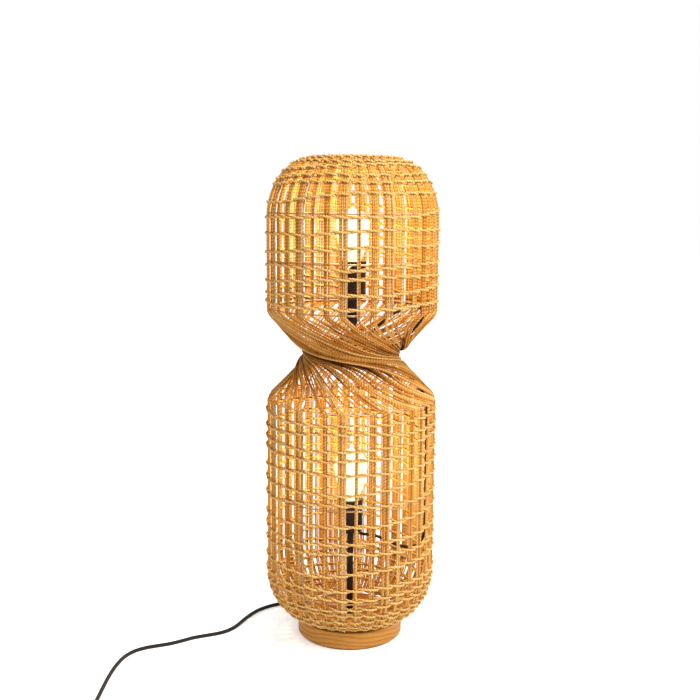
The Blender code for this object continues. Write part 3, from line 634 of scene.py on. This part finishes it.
def rounded_rectangle(width, length, corner, steps=8):
    points = []
    for quarter in range(4):
        x = (width / 2 - corner) * (1 if quarter in (0, 3) else -1)
        y = (length / 2 - corner) * (1 if quarter in (0, 1) else -1)
        for step in range(steps + 1):
            angle = math.radians(90) * (quarter + step / steps)
            points.append((x + corner * math.cos(angle), y + corner * math.sin(angle)))
    return points


def merged(name, meshes):
    bm = bmesh.new()
    for mesh in meshes:
        bm.from_mesh(mesh)
    return mesh_of(bm, name)


def block(size, place):
    """An upright block of this size about this place, as a bmesh."""
    bm = bmesh.new()
    bmesh.ops.create_cube(bm, size=1)
    bmesh.ops.scale(bm, verts=bm.verts, vec=size)
    bmesh.ops.translate(bm, verts=bm.verts, vec=place)
    return bm


def cut_out(piece, bm):
    """Cuts the bmesh's shape out of the piece."""
    cutter = linked("cutter", mesh_of(bm, "cutter"))
    cut = piece.modifiers.new("cut", "BOOLEAN")
    cut.operation = "DIFFERENCE"
    cut.object = cutter
    graph = bpy.context.evaluated_depsgraph_get()
    result = bpy.data.meshes.new_from_object(piece.evaluated_get(graph))
    piece.modifiers.clear()
    piece.data = result
    bpy.data.objects.remove(cutter)


# ---- the camera and the light ----
CAMERA_PLACE = (-0.0031, -1.759, 0.780)
CAMERA_DOWN, CAMERA_LEAN = 8.3, 0.44  # degrees below level, and about its own axis


def make_camera():
    camera = linked("camera", bpy.data.cameras.new("camera"))
    camera.data.lens = 51.2
    camera.data.sensor_width = 36.0
    down = Matrix.Rotation(math.radians(90 - CAMERA_DOWN), 4, "X")
    lean = Matrix.Rotation(math.radians(CAMERA_LEAN), 4, "Z")
    camera.matrix_world = Matrix.Translation(CAMERA_PLACE) @ down @ lean
    bpy.context.scene.camera = camera


def area_light(name, place, target, size, watts, colour):
    light = bpy.data.lights.new(name, "AREA")
    light.shape = "DISK"
    light.size = size
    light.energy = watts
    light.color = colour
    made = linked(name, light)
    made.location = place
    made.rotation_euler = (Vector(target) - Vector(place)).to_track_quat("-Z", "Y").to_euler()


def make_lights():
    world = bpy.data.worlds.new("studio")
    world.use_nodes = True
    background = world.node_tree.nodes["Background"]
    background.inputs["Color"].default_value = (1.0, 1.0, 1.0, 1)
    background.inputs["Strength"].default_value = 1.0
    bpy.context.scene.world = world
    area_light("top", (0.5, -0.7, 2.3), (0, 0, 0.7), 0.8, 50.0, (1.0, 0.97, 0.92))
    area_light("key", (1.7, -1.3, 1.6), (0, 0, 0.45), 0.9, 48.0, (1.0, 0.96, 0.91))
    bpy.context.scene.view_settings.view_transform = "Standard"


def make_bulb_light(which):
    """The light of a bulb's filament, inside its glass."""
    low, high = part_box(f"{which}_bulb_glass")
    light = bpy.data.lights.new(f"{which}_bulb_light", "POINT")
    light.shadow_soft_size = 0.022
    light.energy = 3.4
    light.color = (1.0, 0.80, 0.44)
    linked(light.name, light).location = (0, 0, high.z - (high.x - low.x) / 2)


def make_floor():
    bm = bmesh.new()
    bmesh.ops.create_grid(bm, x_segments=1, y_segments=1, size=14)
    mesh = mesh_of(bm, "stage_floor")
    mesh.materials.append(MATERIALS["stage_floor"])
    linked("stage_floor", mesh)


# ---- the lamp's profile ----
def waist_radius(height):
    rise = height - WAIST_HEIGHT
    return WAIST_RADIUS + WAIST_SLOPE * (np.hypot(rise, WAIST_ROUND) - WAIST_ROUND)


def soft_smaller(one, other, rounding):
    """The smaller of the two, with a rounded change from one to the other."""
    return (one + other - np.hypot(one - other, rounding) + rounding * 0.25) / 2


def quarter_ellipse(angle, inset, rim, start, end):
    """(radius, height) points of a curve from the drum's side at one height to a rim at the other."""
    width = DRUM_RADIUS - rim
    rise = end - start
    out = unit(np.stack([np.cos(angle) / width, np.sin(angle) / rise], -1))
    edge = np.stack([rim + width * np.cos(angle), start + rise * np.sin(angle)], -1)
    return edge - inset * out


def dome_profile(angle, inset):
    return quarter_ellipse(angle, inset, DOME_RIM, DOME_FOOT, DOME_TOP)


def bowl_profile(angle, inset):
    return quarter_ellipse(angle, inset, BOWL_RIM, BOWL_TOP, BOWL_FOOT)


def stretch(start, end, spacing):
    return np.linspace(start, end, max(2, round(abs(end - start) / spacing) + 1))


def upper_profile(inset, spacing):
    """(radius, height) points from the top rim down to the upper shoulder."""
    dome = dome_profile(np.radians(stretch(88, 0, 3)), inset)
    heights = stretch(DOME_FOOT, UPPER_SHOULDER + 0.006, spacing)[1:]
    return np.vstack([dome, np.stack([np.full(len(heights), DRUM_RADIUS - inset), heights], 1)])


def lower_profile(inset, spacing):
    """(radius, height) points from the lower shoulder down to the bowl's foot."""
    bowl = bowl_profile(np.radians(stretch(0, 87, 3)), inset)
    heights = stretch(LOWER_SHOULDER - 0.006, BOWL_TOP, spacing)[:-1]
    return np.vstack([np.stack([np.full(len(heights), DRUM_RADIUS - inset), heights], 1), bowl])


# ---- stakes and waist strings ----
def fold_of(angle):
    """(share, edge, span): how deep in its fold a waist string at this azimuth lies, 0 at the outer edge, and
    that edge's azimuth and how far round the fold goes."""
    edges = sorted(FOLDS)
    for i, edge in enumerate(edges):
        after = edges[(i + 1) % len(edges)] + (TAU if i + 1 == len(edges) else 0)
        turned_by = (angle - edge) % TAU
        if turned_by < after - edge:
            return turned_by / (after - edge), edge, after - edge
    return 0.0, edges[0], TAU


def rise_share(height):
    """1 at the upper shoulder, 0 half way down to the lower one, and -1 there."""
    half = (UPPER_SHOULDER - LOWER_SHOULDER) / 2
    return np.clip((height - (UPPER_SHOULDER + LOWER_SHOULDER) / 2) / half, -1, 1)


def twist_share(height):
    """0 at the upper shoulder, 1 at the lower one: part of the turn is round the waist, the rest straight."""
    rise = rise_share(height)
    wrap = np.tanh(rise / WRAP_REACH)
    straight = np.arctan(LEAN * rise) / math.atan(LEAN)
    return 0.5 - 0.5 * (WRAP_SHARE * wrap + (1 - WRAP_SHARE) * straight)


def strand_places():
    """(stake's azimuth, offset along its width, bay) of each rope of a drum, in order round the lamp."""
    found = []
    for stake in range(STAKES):
        bay = stake * BAYS // STAKES
        middle = WIDE_ANGLE + STAKE_STEP * (STAKES / BAYS * bay + 1)
        from_front = abs((middle - FRONT + math.pi) % TAU - math.pi)
        counts = FRONT_BAY if from_front < FRONT_REACH else BACK_BAY
        count = counts[stake % len(counts)]
        centre = WIDE_ANGLE + STAKE_STEP * stake + RANDOM.uniform(-0.006, 0.006)
        for k in range(count):
            found.append((centre, (k - (count - 1) / 2) * ROPE_GAP * STRAND, bay))
    return found


def wander(count, size, waves):
    """A smooth seeded sideways wander along a rope."""
    t = np.linspace(0, 1, count)
    total = np.zeros(count)
    for k in range(1, waves + 1):
        total += RANDOM.normal(0, size / k) * np.sin(TAU * k * t + RANDOM.uniform(0, TAU))
    return total


def strand_path(upper_place, lower_place, even):
    """(points, thickness, dark, waist, foot) of one rope from the top rim to the base: half its thickness and
    how much painted shade darkens it at each point, in its fold and where the waist's ropes crowd, and which
    points begin and end its waist. even is where it would be at the upper shoulder if the ropes were spread
    evenly."""
    upper, lower = upper_profile(STAKE_INSET, DRUM_SPACING), lower_profile(STAKE_INSET, DRUM_SPACING)
    heights = stretch(upper[-1, 1], lower[0, 1], WAIST_SPACING)[1:-1]
    radii = soft_smaller(waist_radius(heights) - STRAND, DRUM_RADIUS - STAKE_INSET, SHOULDER_ROUND)
    waist = np.stack([radii, heights], 1)
    radius, height = np.vstack([upper, waist, lower]).T
    rise = rise_share(height)
    closeness = 1 - rise ** 2
    twisted = twist_share(height)
    above = upper_place[0] + upper_place[1] / radius
    below = lower_place[0] + lower_place[1] / radius
    at_stakes = above * (1 - twisted) + below * twisted
    share, edge, span = fold_of(even + TWIST / 2)
    crowd = (edge + span * FOLD_LAP * share ** FOLD_CROWD - even - TWIST / 2 + math.pi) % TAU - math.pi
    parting = np.exp(-((height - PARTING_HEIGHT) / PARTING_REACH) ** 2)
    parting = parting * math.exp(-((share - PARTING_SHARE) / PARTING_WIDTH) ** 2)
    stray = RANDOM.normal(0, STRAY) + RANDOM.normal(0, CROSSING) * rise
    spread = even + stray + TWIST * twisted + crowd * closeness ** FOLD_HOLD + PARTING_TURN * parting
    angle = at_stakes + (spread - at_stakes) * closeness ** OPENING
    loose = LOOSE_STAKES + LOOSE_WAIST * closeness
    angle = angle + loose * wander(len(height), 1.0, 5) / radius
    depth = FOLD_DEPTH * share ** 0.8 * closeness + RANDOM.uniform(*FOLD_STRAY) * closeness ** 0.5
    radius = radius - depth + wander(len(height), LOOSE_DEPTH, 4)
    # painted shade: a fold's deepest ropes, and some ropes crowded at the waist, are darkened in colour where
    # the fold above and their neighbours shade them
    dark = FOLDS[edge] * np.clip((share - SHADE_START) / SHADE_SPAN, 0, 1) * closeness ** 6
    dark = dark + (WAIST_PAINTED_SHADE if RANDOM.random() < WAIST_SHADED_SHARE else 0.0) * closeness ** 1.5
    thickness = STRAND * RANDOM.uniform(*ROPE_SIZES) * (1 - THINNER * closeness)
    return polar(radius, angle, height), thickness, dark, len(upper) - 1, len(upper) + len(waist)


def make_strands():
    """Every upright rope, as twelve pieces for each of the upper drum, the waist and the lower drum."""
    stands_for = {"upper_stakes": ("upper_weave_drum", "upper_weave_dome"),
                  "waist_strings": ("waist_strings_top", "waist_strings_bottom"),
                  "lower_stakes": ("lower_weave_drum", "lower_weave_bowl")}
    parts = {part: [Ropes() for _ in range(BAYS)] for part in stands_for}
    places = strand_places()
    total = len(places)
    shift = round(TWIST / TAU * total)
    even_step = TAU / total
    first = sum(place[0] for place in places) / total - even_step * (total - 1) / 2
    for i, place in enumerate(places):
        centre, offset, low_bay = places[(i + shift) % total]
        below = (centre + TAU * ((i + shift) // total), offset)
        path, thickness, dark, waist, foot = strand_path(place, below, first + even_step * i)
        rings, lengths = tube_rings(path, thickness, outward_from_lamp(path))
        # each rope's own tone, less its painted shade
        tone = RANDOM.uniform(*ROPE_TONES) - dark
        for part, bay, rows in (("upper_stakes", place[2], slice(0, waist + 1)),
                                ("waist_strings", place[2], slice(waist, foot + 1)),
                                ("lower_stakes", low_bay, slice(foot, None))):
            parts[part][bay].add(rings[rows], lengths[rows], tone[rows])
    for part, collected in parts.items():
        for number, ropes in enumerate(collected, 1):
            name = f"{part}_{number:02d}"
            finished(name, ropes.mesh(name), "rope", stands_for=stands_for[part])


# ---- twined rows ----
def row_wave(turns):
    """How far a row strays up and down along its surface."""
    total = np.zeros(len(turns))
    for waves, size in ((1.37, 0.0026), (2.61, 0.002), (4.13, 0.0013), (9.3, 0.0006)):
        total += size * np.sin(TAU * waves * turns + RANDOM.uniform(0, TAU))
    return total


def make_rows(name, profile, heights, node):
    """A twined pair that climbs round the drum as one long spiral and has these heights at the lamp's front.
    One rope passes in front of each stake while the other passes behind it."""
    run = run_along(profile)
    slope = unit(np.gradient(profile, axis=0))
    normal = np.stack([-slope[:, 1], slope[:, 0]], 1)
    stops = np.interp(-np.array(sorted(heights)), -profile[:, 1], run)
    per_turn = STAKES * ROW_STEPS
    turns = np.arange(per_turn * len(stops) + 1) / per_turn
    angle = -FRONT + TAU * turns
    fronts = np.arange(len(stops)) + 0.5
    calm = np.clip(np.interp(turns, fronts, np.gradient(-stops)) / ROW_FREE, ROW_CALM, 1.0)
    place = np.interp(turns, fronts, stops) + calm * row_wave(turns)
    phase = (angle - WIDE_ANGLE) / STAKE_STEP * math.pi
    pieces = [Ropes() for _ in stops]
    for rope in range(2):
        swing = np.cos(phase + math.pi * rope)
        offset = (STRAND + ROW) * np.sign(swing) * abs(swing) ** ROW_SWING
        shift = ROW * ROW_CROSS * np.sin(phase + math.pi * rope)
        at = np.clip(place + shift, 0, run[-1])
        radius, height = (sampled(at, run, profile) + offset[:, None] * unit(sampled(at, run, normal))).T
        path = polar(radius, angle, height)
        rings, lengths = tube_rings(path, ROW, outward_from_lamp(path))
        tone = RANDOM.uniform(*ROW_TONES_WITH_HIGHLIGHT)
        for number, ropes in enumerate(pieces):
            first, last = number * per_turn, (number + 1) * per_turn + 1
            ropes.add(rings[first:last], lengths[first:last], tone)
    for number, ropes in enumerate(pieces, 1):
        piece = f"{name}_{number:02d}"
        finished(piece, ropes.mesh(piece), "rope", stands_for=(node,))


def make_border(name, radius, height, scallop, node):
    """A twined edge: a pair of ropes that loops once round the foot of each stake."""
    count = STAKES * BORDER_STEPS
    turns = np.arange(count) / count
    angle = WIDE_ANGLE + TAU * turns
    phase = TAU * STAKES / 2 * turns
    ropes = Ropes()
    for rope in range(2):
        around = phase + math.pi * rope
        reach = radius + 1.15 * ROW * np.cos(around) + 0.0004 * np.sin(7 * angle)
        rise = height + 1.15 * ROW * np.sin(around) + scallop * abs(np.sin(phase))
        ropes.tube(polar(reach, angle, rise), ROW * 1.08, RANDOM.uniform(*BORDER_TONES), closed=True)
    finished(name, ropes.mesh(name), "rope", stands_for=(node,))


def make_weave():
    make_strands()
    make_rows("upper_rows", upper_profile(STAKE_INSET, 0.003), UPPER_ROWS, "upper_weave_drum")
    make_rows("lower_rows", lower_profile(STAKE_INSET, 0.003), LOWER_ROWS, "lower_weave_drum")
    make_border("top_border", DOME_RIM - 0.001, DOME_TOP - 0.003, 0.0006, "upper_weave_dome")
    make_border("foot_border_upper", BOWL_RIM + 0.0012, BOWL_FOOT + 0.004, 0.0006, "lower_weave_bowl")
    make_border("foot_border", BOWL_RIM + 0.0006, BOWL_FOOT - 0.0004, 0.0018, "lower_weave_bowl")


# ---- the wire frames ----
def wire_ring(ropes, radius, height, steps=96):
    ropes.tube(polar(radius, TAU * np.arange(steps) / steps, height), WIRE, closed=True)


def wire_ribs(ropes, outline):
    radius, height = np.array(outline).T
    for i in range(RIBS):
        ropes.tube(polar(radius, RIB_PHASE + TAU * i / RIBS, height), WIRE)


def make_frame(node, rings, profile, curved_ring, steepest, end, rib_start):
    """A drum's rings, with one more on its dome or bowl and one at its end, and the ribs that join them.
    curved_ring is (angle on the profile, inset, height), and end is (radius, height)."""
    ropes = Ropes()
    for height in rings:
        wire_ring(ropes, DRUM_RADIUS - RING_INSET, height)
    angle, inset, height = curved_ring
    wire_ring(ropes, profile(np.array([angle]), inset)[0, 0], height)
    wire_ring(ropes, *end)
    curve = profile(np.radians(stretch(0, steepest, 4)), RIB_INSET + 0.001)
    wire_ribs(ropes, [(DRUM_RADIUS - RIB_INSET, rib_start)] + curve.tolist() + [end])
    finished(f"{node}_wires", ropes.mesh(f"{node}_wires"), "wire", stands_for=(node,))


def make_upper_frame():
    top = high_of("upper_frame")
    rise = math.asin((DOME_RING - DOME_FOOT) / (DOME_TOP - DOME_FOOT))
    make_frame("upper_frame", UPPER_RINGS, dome_profile, (rise, RING_INSET, DOME_RING), 82,
               (outer_radius("upper_frame", top), top - WIRE), UPPER_RINGS[0])


def make_lower_frame():
    foot = low_of("lower_frame")
    drop = math.asin((BOWL_TOP - BOWL_RING) / (BOWL_TOP - BOWL_FOOT))
    make_frame("lower_frame", LOWER_RINGS, bowl_profile, (drop, RING_INSET + 0.001, BOWL_RING), 86,
               (outer_radius("lower_frame", foot), foot + WIRE), LOWER_RINGS[1])


def make_spider():
    """The plate that carries the upper holder, with an arm to every fourth rib."""
    middle = (low_of("holder_spider") + high_of("holder_spider")) / 2
    hole, edge, half = 0.0204, 0.0268, 0.00075
    outline = [(hole, middle - half), (edge, middle - half), (edge, middle + half), (hole, middle + half)]
    arms = Ropes()
    reach = np.linspace(0.0245, DRUM_RADIUS - RIB_INSET - WIRE, 16)
    for i in range(3):
        arms.tube(polar(reach, RIB_PHASE + TAU * i / 3, middle), WIRE, facing=(0, 0, 1))
    mesh = merged("spider", [turned_mesh("plate", rounded(outline, 0.0004)), arms.mesh("arms")])
    finished("spider", shaded(mesh, 50), "wire", stands_for=("holder_spider",))


# ---- the base ----
def make_base():
    """The wooden disc, with its rod hole, the recess under it and the groove that the cord leaves by."""
    under = low_of("base_disc")
    recess, recess_top = 0.018, 0.020
    edge = [(ROD_HOLE, BASE_TOP), (BASE_RADIUS, BASE_TOP), (BASE_RADIUS, under), (recess, under),
            (recess, recess_top), (ROD_HOLE, recess_top)]
    mesh = turned_mesh("wooden_base", rounded(edge, 0.0022, steps=5), steps=160)
    base = finished("wooden_base", mesh, "wood", stands_for=("base_disc",))
    groove = block((0.100, 0.0115, 0.012), (0.060, 0, 0.0072))
    bmesh.ops.rotate(groove, verts=groove.verts, matrix=Matrix.Rotation(CORD_ANGLE, 3, "Z"))
    cut_out(base, groove)
    shaded(base.data, 50)


def make_base_screws():
    """Pan-head screws; their cross slot is left out."""
    for number in range(1, 5):
        node = f"base_screw_{number}"
        low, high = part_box(node)
        at = ((low.x + high.x) / 2, (low.y + high.y) / 2, 0)
        head = [(0, high.z), (0.001, high.z - 0.00005), (0.0022, high.z - 0.0005), (0.0031, high.z - 0.0014),
                (0.0031, high.z - 0.0019), (0.0013, high.z - 0.002), (0.0013, low.z + 0.0015), (0, low.z)]
        turned(f"pan_screw_{number}", head, "steel", stands_for=(node,), at=at, steps=24, closed=False)


def make_pole():
    low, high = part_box("pole_tube")
    tube = [(0.0052, high.z), (high.x, high.z), (high.x, low.z), (0.0052, low.z)]
    turned("pole", rounded(tube, 0.0003), "black_metal", stands_for=("pole_tube",), steps=48)
    low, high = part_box("pole_collar")
    collar = [(ROD_HOLE, high.z), (0.0068, high.z), (high.x, high.z - 0.0018), (high.x, low.z),
              (ROD_HOLE, low.z)]
    turned("collar", rounded(collar, 0.0006), "black_metal", stands_for=("pole_collar",), steps=48)


# ---- holders and bulbs ----
LOWER_SHELL, UPPER_SHELL = 0.0226, 0.0235  # half the width of each holder's shell
HOLDER_INSIDE, CORE_SEAT = 0.0195, 0.017  # half the width inside a shell, and of the hole round its core


def fluted(angle, radius, height):
    """Fine upright ribs round a moulded grip."""
    return radius - 0.00035 * (0.5 + 0.5 * math.cos(40 * angle)) if radius > 0.0215 else radius


def moulding(name, node, outline, steps, **more):
    """A turned piece of black plastic."""
    turned(name, outline, "black_plastic", stands_for=(node,), steps=steps, **more)


def make_lower_holder():
    foot, cap_top = low_of("lower_holder_cap"), high_of("lower_holder_cap")
    cap = [(ROD_HOLE, foot), (0.017, foot), (0.0205, foot + 0.002), (LOWER_SHELL, foot + 0.0075),
           (LOWER_SHELL, cap_top), (HOLDER_INSIDE, cap_top), (HOLDER_INSIDE, foot + 0.0035),
           (ROD_HOLE, foot + 0.0035)]
    moulding("holder_cap", "lower_holder_cap", rounded(cap, 0.0012), 160, ripple=fluted)
    low, high = span_of("lower_holder_shell")
    shell = [(CORE_SEAT, high), (0.0216, high), (LOWER_SHELL, high - 0.0015), (LOWER_SHELL, low + 0.009),
             (0.0219, low + 0.0082), (0.0219, low + 0.007), (LOWER_SHELL, low + 0.0062), (LOWER_SHELL, low),
             (HOLDER_INSIDE, low), (HOLDER_INSIDE, low + 0.0142), (CORE_SEAT, low + 0.0142)]
    moulding("holder_shell", "lower_holder_shell", rounded(shell, 0.0006), 96)


def make_upper_holder():
    low, high = span_of("upper_holder_shell")
    shoulder = low_of("holder_spider") - 0.0003
    shell = [(CORE_SEAT, high), (0.020, high), (0.020, shoulder), (UPPER_SHELL, shoulder),
             (UPPER_SHELL, low + 0.012), (0.0228, low + 0.011), (0.0228, low + 0.0095),
             (UPPER_SHELL, low + 0.0085), (UPPER_SHELL, low),
             (HOLDER_INSIDE, low), (HOLDER_INSIDE, low + 0.033), (CORE_SEAT, low + 0.033)]
    moulding("upper_shell", "upper_holder_shell", rounded(shell, 0.0006), 96)
    low, high = span_of("upper_shade_ring")
    ring = [(0.0203, high), (0.0245, high), (0.0245, low), (0.0203, low)]
    moulding("shade_ring", "upper_shade_ring", rounded(ring, 0.0008), 160, ripple=fluted)
    low, high = span_of("upper_holder_sleeve")
    foot = high - 0.007
    sleeve = [(0, high), (0.019, high), (0.019, foot + 0.0006), (UPPER_SHELL, foot + 0.0006),
              (0.0228, foot - 0.003), (0.0102, foot - 0.006), (0.010, foot - 0.047), (0.0045, low),
              (0, low)]
    moulding("holder_sleeve", "upper_holder_sleeve", rounded(sleeve, 0.0012, closed=False), 64, closed=False)


def make_bulb_glass(which):
    """An opal globe: a round ball that runs into a narrow neck."""
    node = f"{which}_bulb_glass"
    neck, top = low_of(node), high_of(node)
    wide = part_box(node)[1].x
    middle = top - wide
    ball = [(wide * math.sin(a), middle + wide * math.cos(a)) for a in np.radians(stretch(0, 90, 6))]
    side = [(wide - 0.016 * ((middle - z) / (middle - neck)) ** 1.7, z)
            for z in stretch(middle, neck + 0.003, 0.0025)[1:]]
    foot = [(0.0124, neck + 0.0012), (0.0118, neck), (0, neck)]
    glass = turned(f"{which}_globe", [(0, top)] + ball[1:] + side + foot, "lamp_glass",
                   body=f"{which}_bulb", stands_for=(node,), steps=64, closed=False)
    glass.visible_shadow = False


# ---- cords ----
def cord_piece(name, path, radius, slot, stands_for, sides=16):
    ropes = Ropes()
    ropes.tube(path, radius, facing=cord_facing(path), sides=sides)
    return finished(name, ropes.mesh(name), slot, stands_for=stands_for)


def cord_facing(path):
    """A direction across the cord that turns with it as little as possible."""
    along = unit(np.gradient(np.asarray(path), axis=0))
    facing = [np.cross(along[0], (0.3, 0.9, 0.2))]
    for step in along[1:]:
        last = facing[-1]
        facing.append(last - step * last.dot(step))
    return unit(np.array(facing))


def coil_points():
    """The coil's turns: outer and inner below, inner and outer above, and the last part of a turn on them."""
    half, low, high = 0.0034, 0.00465, 0.01125
    slots = [(COIL_RADIUS + half, low), (COIL_RADIUS - half, low), (COIL_RADIUS - half, high),
             (COIL_RADIUS + half, high), (COIL_RADIUS, high + 0.0058)]
    moves = [0.93, 0.87 + 1, 0.81 + 2, 0.74 + 3]  # the turn at which each slot is left for the next
    points = []
    for t in np.arange(0.035, COIL_TURNS - 0.02, 1 / 60):
        radius, height = slots[0]
        for (r, z), move in zip(slots[1:], moves):
            share = min(1.0, max(0.0, (t - move) / 0.14 + 0.5))
            share = share * share * (3 - 2 * share)
            radius += (r - radius) * share
            height += (z - height) * share
        angle = math.pi + TAU * t
        x, y = COIL_CENTRE.x + radius * math.cos(angle), COIL_CENTRE.y + radius * math.sin(angle)
        points.append((x, y, height))
    return points


def make_mains_cord():
    route = CORD_ROUTE + SWITCH_ROUTE + COIL_LEAD_ROUTE + coil_points() + TAIL_ROUTE
    path = smooth_route(route, CORD_SPACING)
    cord = cord_piece("braided_cord", path, CORD_RADIUS, "cord",
                      ("mains_cord", "cord_to_coil", "cord_coil", "cord_tail"))
    on_it = make_gland() + make_switch() + make_plug() + [make_coil_tie()]


def make_link_cable():
    """The lead from the lower holder up to the upper one, tied to the weave all the way."""
    path = smooth_route(LINK_ROUTE, CORD_SPACING)
    cord_piece("link_lead", path, LINK_RADIUS, "cord", ("link_cable",), sides=12)


def make_gland():
    """The ribbed, tapered strain relief in the base's groove."""
    outline = [(0, 0.0475), (0.0036, 0.0475)]
    for k in range(6):
        near, far = 0.0465 - 0.0042 * k, 0.0465 - 0.0042 * k - 0.0026
        body = 0.0036 + 0.0011 * k / 5
        outline += [(body, near), (body, far), (body - 0.0006, far - 0.0003), (body - 0.0006, far - 0.0013)]
    outline += [(0.0047, 0.020), (0.0052, 0.018), (0.0052, 0), (0, 0)]
    mesh = turned_mesh("strain_relief", outline, steps=32, closed=False)
    out = Matrix.Rotation(CORD_ANGLE, 4, "Z") @ Matrix.Translation((0.0727, 0, 0.0077))
    mesh.transform(out @ Matrix.Rotation(math.radians(90), 4, "Y"))
    return [finished("strain_relief", mesh, "black_plastic", stands_for=("cord_gland",))]


def make_coil_tie():
    """A hook-and-loop strap round the coil's bundle."""
    low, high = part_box("coil_tie")
    centre, half = (low + high) / 2, (high - low) / 2
    thick = 0.00045
    loop = rounded_rectangle(2 * half.x - 2 * thick, 2 * half.z - 2 * thick, 0.0045, steps=6)
    bm = bmesh.new()
    rows = []
    for out in (-thick, thick):
        for side in (-half.y, half.y):
            ring = []
            for x, z in loop:
                push = Vector((x, z)).normalized() * out
                ring.append(bm.verts.new((centre.x + x + push.x, centre.y + side, centre.z + z + push.y)))
            rows.append(ring)
    for k in range(len(loop)):
        n = (k + 1) % len(loop)
        for one, other in ((0, 1), (1, 3), (3, 2), (2, 0)):
            bm.faces.new((rows[one][k], rows[one][n], rows[other][n], rows[other][k]))
    bmesh.ops.recalc_face_normals(bm, faces=bm.faces)
    return finished("coil_strap", shaded(mesh_of(bm, "coil_strap"), 50), "felt", stands_for=("coil_tie",))


def make_switch():
    """The two shells of the inline switch, and the names of its screws and its rocker."""
    low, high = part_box("switch_base")
    centre = (low + high) / 2
    outline = rounded_rectangle(high.x - low.x, high.y - low.y, 0.008)
    shells = []
    for node, name in (("switch_base", "switch_lower_shell"), ("switch_cover", "switch_upper_shell")):
        mesh = plate_mesh(name, outline, low_of(node), high_of(node), 0.0012)
        mesh.transform(Matrix.Translation((centre.x, centre.y, 0)))
        shell = finished(name, mesh, "black_plastic", stands_for=(node,))
        cut_pocket(shell, centre)
        shells.append(shell)
    return shells + ["switch_rocker", "switch_screw_1", "switch_screw_2"]


def cut_pocket(shell, centre):
    """The opening in a switch shell that the rocker moves in, and the two screw holes."""
    cutters = [block((0.010, 0.0192, 0.014), (centre.x, centre.y, 0.0115))]
    for end in (-1, 1):
        bm = bmesh.new()
        bmesh.ops.create_cone(bm, cap_ends=True, segments=20, radius1=0.0017, radius2=0.0017, depth=0.017)
        bmesh.ops.translate(bm, verts=bm.verts, vec=(centre.x, centre.y + end * 0.0225, 0.0171))
        cutters.append(bm)
    for bm in cutters:
        cut_out(shell, bm)
    shaded(shell.data, 40)


def make_plug():
    """A flat moulded plug, and the names of its two pins."""
    low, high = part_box("plug_body")
    centre = (low + high) / 2
    hull = rounded_rectangle(0.026, 0.034, 0.006)
    outline = [(y, x * (1 - 9.0 * max(0.0, -y))) for x, y in hull]
    mesh = plate_mesh("plug_hull", outline, low.z, high.z, 0.0032, segments=5)
    mesh.transform(Matrix.Translation((centre.x, centre.y, 0)))
    hull = finished("plug_hull", mesh, "black_plastic", stands_for=("plug_body",))
    return [hull, "plug_pin_1", "plug_pin_2"]


# ---- the frame's own pieces ----
CARRIED = {
    "felt": ("base_felt",),
    "steel": ("threaded_rod", "base_washer", "base_nut", "holder_nut", "switch_screw_1", "switch_screw_2",
              "plug_pin_1", "plug_pin_2"),
    "brass": ("upper_centre_contact", "lower_centre_contact", "upper_screw_shell", "lower_screw_shell",
              "upper_bulb_tip", "lower_bulb_tip", "upper_bulb_cap", "lower_bulb_cap"),
    "ceramic": ("upper_holder_core", "lower_holder_core"),
    "black_plastic": ("switch_rocker", "upper_bulb_insulator", "lower_bulb_insulator"),
    "cord": ("feed_lead",),
}


def finish_carried_nodes():
    """The frame's own pieces that keep their shape get these finishes."""
    for slot, nodes in CARRIED.items():
        for node in nodes:
            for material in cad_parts[node].material_slots:
                material.link = "OBJECT"
                material.material = MATERIALS[slot]


make_camera()
make_lights()
make_floor()
make_mains_cord()
make_link_cable()
make_weave()
make_upper_frame()
make_lower_frame()
make_spider()
make_base()
make_base_screws()
make_pole()
make_lower_holder()
make_upper_holder()
for bulb in ("lower", "upper"):
    make_bulb_glass(bulb)
    make_bulb_light(bulb)
finish_carried_nodes()
